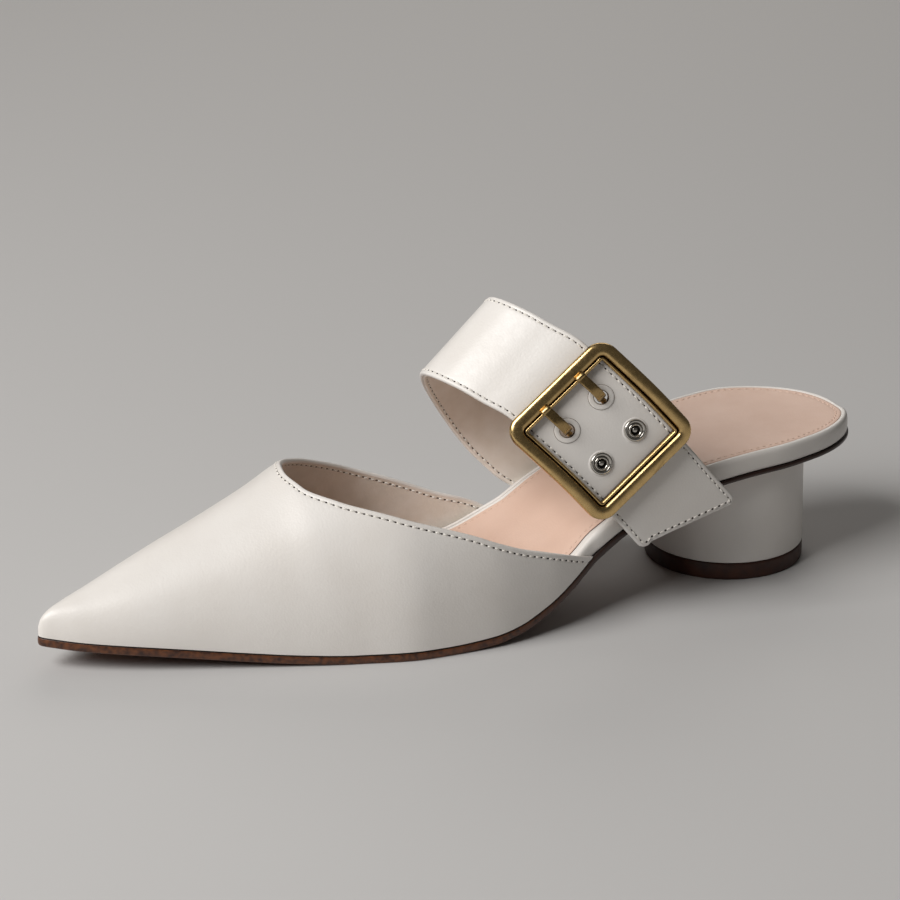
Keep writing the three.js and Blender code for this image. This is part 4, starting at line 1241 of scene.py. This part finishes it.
def frame_line():
    """Middle line of the frame with its outward turn: straight bars joined by round corners."""
    corner_steps, bar_steps = 12, 10
    corners = []
    for quarter, (sign_along, sign_over) in enumerate(((1, 1), (-1, 1), (-1, -1), (1, -1))):
        for step in range(corner_steps + 1):
            turn = math.pi / 2 * (quarter + step / corner_steps)
            corners.append((
                sign_along * (half_along - FRAME_CORNER) + FRAME_CORNER * math.cos(turn),
                sign_over * (half_over - FRAME_CORNER) + FRAME_CORNER * math.sin(turn), turn,
            ))
    line = []
    for i, (along, over, turn) in enumerate(corners):
        line.append((along, over, turn))
        if i % (corner_steps + 1) == corner_steps:
            ahead = corners[(i + 1) % len(corners)]
            line += [
                (lerp(along, ahead[0], k / bar_steps), lerp(over, ahead[1], k / bar_steps), turn)
                for k in range(1, bar_steps)
            ]
    return line


def rod(path, normal, shape_at, sides=16):
    """A bar swept along points: shape_at gives half its width along normal, half its height and how square
    it is at a share of the way. It is closed at both ends."""
    turns = circle(sides)
    vertices = []
    for i, point in enumerate(path):
        ahead, behind = path[min(i + 1, len(path) - 1)], path[max(i - 1, 0)]
        across = (ahead - behind).normalized().cross(normal)
        half_wide, half_high, square = shape_at(i / (len(path) - 1))
        power = lerp(1.0, SQUARE_POWER, square)
        vertices += [
            point + normal * (half_wide * math.copysign(abs(c) ** power, c))
            + across * (half_high * math.copysign(abs(s) ** power, s))
            for c, s in turns
        ]
    return vertices, tube_faces(len(path), sides)


def add_metal(name, parts, slot, replaces):
    """One piece from closed parts, each (vertices, faces, patina of each vertex)."""
    vertices, faces, dark = [], [], []
    for points, part_faces, part_dark in parts:
        faces += shifted(part_faces, len(vertices))
        vertices += points
        dark += part_dark
    places = {tuple(round(c, 4) for c in point): value for point, value in zip(vertices, dark)}
    piece = add_piece(name, vertices, faces, [gold], slot, replaces)
    attribute = piece.data.attributes.new("patina", "FLOAT", "POINT")
    for i, vertex in enumerate(piece.data.vertices):
        key = tuple(round(c, 4) for c in vertex.co / MM)
        attribute.data[i].value = places.get(key, PLAIN_PATINA)
    return piece


line = frame_line()
frame_points = [
    at_buckle(along + side * math.cos(turn), over + side * math.sin(turn), frame_low + lift)
    for along, over, turn in line for side, lift, _ in FRAME_SECTION
]
frame_dark = [dark for _ in line for _, _, dark in FRAME_SECTION]
frame_faces = band_faces(len(line), len(FRAME_SECTION), closed=True)
post = half_over + FRAME_BAR / 2 - BAR_RADIUS - POST_INSET
staple = [
    (-post, frame_low + FRAME_DEPTH / 2), (-post, bar_out + BAR_BEND),
    (-post + BEND_CUT, bar_out + BEND_CUT), (-post + BAR_BEND, bar_out),
    (post - BAR_BEND, bar_out), (post - BEND_CUT, bar_out + BEND_CUT),
    (post, bar_out + BAR_BEND), (post, frame_low + FRAME_DEPTH / 2),
]
along_buckle = (at_buckle(1, 0, bar_out) - at_buckle(-1, 0, bar_out)).normalized()
bar_points, bar_faces = rod(
    [at_buckle(0, over, out) for over, out in staple], along_buckle,
    lambda share: (BAR_RADIUS, BAR_RADIUS, 0.0),
)
add_metal(
    "buckle_frame",
    [(frame_points, frame_faces, frame_dark), (bar_points, bar_faces, [0.5] * len(bar_points))],
    "antique_gold", ["buckle"],
)

# Prongs: two flat fingers of the same brass, each bent round the bar at one end, coming up through a
# hole and lying on the toe-side bar of the frame, where their tips are rolled.
PRONG_HALF = 1.5
PRONG_THICK_HALF = 0.75
LIP_HEIGHT = 2.28
TIP_ON_BAR = 0.9
TIP_LIFT = 0.3
PRONG_SIDES = 20
hook_reach = BAR_RADIUS + SMALL_GAP + HOOK_RADIUS
under_strap = bar_out + hook_reach
prong_tip = -(half_along - FRAME_BAR / 2) - TIP_ON_BAR
prong_rest = frame_low + LIP_HEIGHT + PRONG_THICK_HALF + TIP_LIFT
hook = []
for degrees in range(-210, 1, 15):
    turn = math.radians(degrees)
    hook.append((-hook_reach * math.sin(turn), bar_out + hook_reach * math.cos(turn)))
stem = [
    (prong_row + 2.4, under_strap), (prong_row + 0.9, under_strap + 0.4),
    (prong_row + 0.3, under_strap + 1.4),
    (prong_row + 0.1, face - 0.4), (prong_row - 0.2, face + 0.8), (prong_row - 1.1, face + 2.2),
    (prong_row - 2.7, face + 3.3), (prong_row - 4.6, face + 3.8), (prong_row - 6.6, face + 3.8),
    (prong_tip + 0.9, prong_rest + 0.2), (prong_tip, prong_rest),
]
fine_prong = [place for place, _ in smooth_line([Vector(place) for place in [*hook, *stem]], 5)]
grown = [smoothstep(place.y, under_strap + 0.5, face - 0.5) for place in fine_prong]


def prong_shape(share):
    here = grown[round(share * (len(grown) - 1))]
    return lerp(HOOK_RADIUS, PRONG_HALF, here), lerp(HOOK_RADIUS, PRONG_THICK_HALF, here), here


ROLL_SIZES = (
    (-1.62, 0.4), (-1.5, 0.8), (-1.2, 0.98), (-0.6, 1.02), (0.6, 1.02), (1.2, 0.98), (1.5, 0.8), (1.62, 0.4),
)


def roll_shape(share):
    size = ROLL_SIZES[round(share * (len(ROLL_SIZES) - 1))][1]
    return size, size, 0.0


for place, over in zip(("front", "rear"), hole_overs):
    finger_path = [at_buckle(spot.x, over, spot.y) for spot in fine_prong]
    finger, finger_faces = rod(finger_path, width_axis, prong_shape, PRONG_SIDES)
    roll_path = [at_buckle(prong_tip - 0.1, over + step, prong_rest + 0.1) for step, _ in ROLL_SIZES]
    roll, roll_faces = rod(roll_path, along_buckle, roll_shape, PRONG_SIDES)
    add_metal(
        f"prong_finger_{place}",
        [(finger, finger_faces, [0.25] * len(finger)), (roll, roll_faces, [0.15] * len(roll))],
        "antique_gold", [f"prong_{place}"],
    )

# Chape: a short strip of the same ivory leather from the outer feather, curled round the buckle's bar
# with its flesh side inwards, pared at its edges and slotted for the prongs. It is lasted under the rim.
CHAPE_THICKNESS = 1.6
CHAPE_MARGIN = 1.2
chape_half = CHAPE_THICKNESS / 2
bar_place = at_buckle(0, 0, bar_out)
bar_up = (bar_place - strap_origin).dot(rise_axis)
curl = BAR_RADIUS + GAP + chape_half
foot_y = -(layer_half(strap_origin.x, -1, 0.0) - FOOTBED_INSET + GAP + chape_half)
foot_up = STRAP_CREST * STRAP_LOOP[-1][1]
chape_slide = STRAP_WIDTH * STRAP_LOOP[-3][2]
chape_knots = [
    Vector((foot_y, foot_up)), Vector((foot_y, lerp(foot_up, bar_up, 0.25))),
    Vector((foot_y, lerp(foot_up, bar_up, 0.5))),
    Vector((lerp(foot_y, bar_place.y + curl, 0.6), lerp(foot_up, bar_up, 0.8))),
]
for degrees in range(0, 271, 45):
    turn = math.radians(degrees)
    chape_knots.append(Vector((bar_place.y + curl * math.cos(turn), bar_up + curl * math.sin(turn))))
chape_line = [place for place, _ in smooth_line(chape_knots, 12)]
chape_runs = runs_along(chape_line)
chape_length = chape_runs[-1]
CHAPE_TWIST = (0.2, 0.6)


def chape_point(run, over, out):
    """run up the strip from its foot, over its width, out from its middle."""
    flat, heading, _, _ = follow(chape_line, chape_runs, run)
    twist = askew * (over - STRAP_WIDTH / 2) * smoothstep(run / chape_length, *CHAPE_TWIST)
    return (
        strap_origin + along_buckle * twist + side_axis * (flat.x - heading.y * out)
        + rise_axis * (flat.y + heading.x * out) + width_axis * (chape_slide + over)
    )


chape_overs = (CHAPE_MARGIN, STRAP_WIDTH - CHAPE_MARGIN)
chape_feet = [run_clear_of_sole(chape_point, over, 0.6 * chape_length) for over in chape_overs]


def place_chape(run, over, share, lift):
    foot = lerp(*chape_feet, (over - CHAPE_MARGIN) / (STRAP_WIDTH - 2 * CHAPE_MARGIN))
    return chape_point(run, over, share * chape_half + lift + tucked(run - foot))


CHAPE_STEPS = 110
chape_sides = [
    [Vector((lerp(foot, chape_length, i / CHAPE_STEPS), over)) for i in range(CHAPE_STEPS + 1)]
    for foot, over in zip(chape_feet, chape_overs)
]
CHAPE_EDGE = (
    (1.0, 1, 0), (0.6, 1, -0.03), (0.3, 1, -0.14), (0.1, 1, -0.34), (0.0, 1, -0.6), (0.0, -1, 0.6),
    (0.1, -1, 0.34), (0.3, -1, 0.14), (0.6, -1, 0.03), (1.0, -1, 0),
)
FLESH_STEP = 5
chape_shares = even_shares(20)
chape_points, chape_faces = slab(*chape_sides, CHAPE_EDGE, place_chape, chape_shares)

def chape_finish(number):
    """Grain side out, and the lining on the inside; the second grid of faces belongs to the inside."""
    step = step_of(number, chape_sides[0], chape_shares)
    rim_steps = len(CHAPE_EDGE) - 1
    if step < rim_steps:
        return int(step >= FLESH_STEP)
    rim = rim_steps * 2 * (len(chape_sides[0]) + len(chape_shares))
    return int(number >= rim + (len(chape_faces) - rim) // 2)


chape_strip = add_piece(
    "chape_strip", chape_points, chape_faces, [ivory, beige], "ivory_leather", ["chape"], chape_finish,
)
slot_half = HOOK_RADIUS + 2 * GAP
slot_deep = BAR_RADIUS + 2 * GAP + CHAPE_THICKNESS
box_corners = ((-1, -1), (1, -1), (1, 1), (-1, 1))
slots = [
    [
        at_buckle(along * slot_deep, over + side * slot_half, bar_out + out * slot_deep)
        for side in (-1, 1) for along, out in box_corners
    ]
    for over in hole_overs
]
punch(chape_strip, [(corners, tube_faces(2, len(box_corners))) for corners in slots])

# Stage: a plain pale floor, a large soft light over the toe and a weaker one behind the shoe.
FLOOR_SIZE = 9.0
floor_mesh = bpy.data.meshes.new("floor")
reach = FLOOR_SIZE / 2
floor_mesh.from_pydata(
    [(-reach, -reach, 0), (reach, -reach, 0), (reach, reach, 0), (-reach, reach, 0)], [], [(0, 1, 2, 3)],
)
floor = bpy.data.objects.new("floor", floor_mesh)
bpy.context.scene.collection.objects.link(floor)
floor_paint = new_material("painted_floor", {"Roughness": 0.75, "Base Color": colour("#C4C3C2")})[0]
floor_mesh.materials.append(floor_paint)


def area_light(name, place, target, size, power, tint="#FFFFFF"):
    light = bpy.data.lights.new(name, "AREA")
    light.shape = "RECTANGLE"
    light.size, light.size_y = size
    light.energy = power
    light.color = colour(tint)[:3]
    lamp = bpy.data.objects.new(name, light)
    lamp.location = place
    lamp.rotation_mode = "QUATERNION"
    lamp.rotation_quaternion = (Vector(target) - Vector(place)).to_track_quat("-Z", "Y")
    bpy.context.scene.collection.objects.link(lamp)


middle = (-0.09, 0.0, 0.04)
area_light("key", (-1.3, -0.2, 1.1), middle, (1.1, 1.0), 29, "#FFFDFB")
area_light("back", (0.5, 1.2, 0.9), middle, (1.2, 0.8), 5, "#FFFAF4")
world = bpy.data.worlds.new("studio")
bpy.context.scene.world = world
world.use_nodes = True
world.node_tree.nodes["Background"].inputs["Color"].default_value = colour("#EAE6E1")
world.node_tree.nodes["Background"].inputs["Strength"].default_value = 0.08
bpy.context.scene.view_settings.view_transform = "Standard"

# Camera: the photograph's angle and distance, level and square to the view.
CAMERA_PLACE = Vector((-438.0, -783.2, 369.8)) * MM
CAMERA_BACK = Vector((-0.3748, -0.8578, 0.3518))
LENS = 120.0
SENSOR = 36.0
camera_data = bpy.data.cameras.new("camera")
camera_data.lens = LENS
camera_data.sensor_width = SENSOR
camera = bpy.data.objects.new("camera", camera_data)
camera.location = CAMERA_PLACE
camera.rotation_mode = "QUATERNION"
camera.rotation_quaternion = (-CAMERA_BACK).to_track_quat("-Z", "Y")
bpy.context.scene.collection.objects.link(camera)
bpy.context.scene.camera = camera
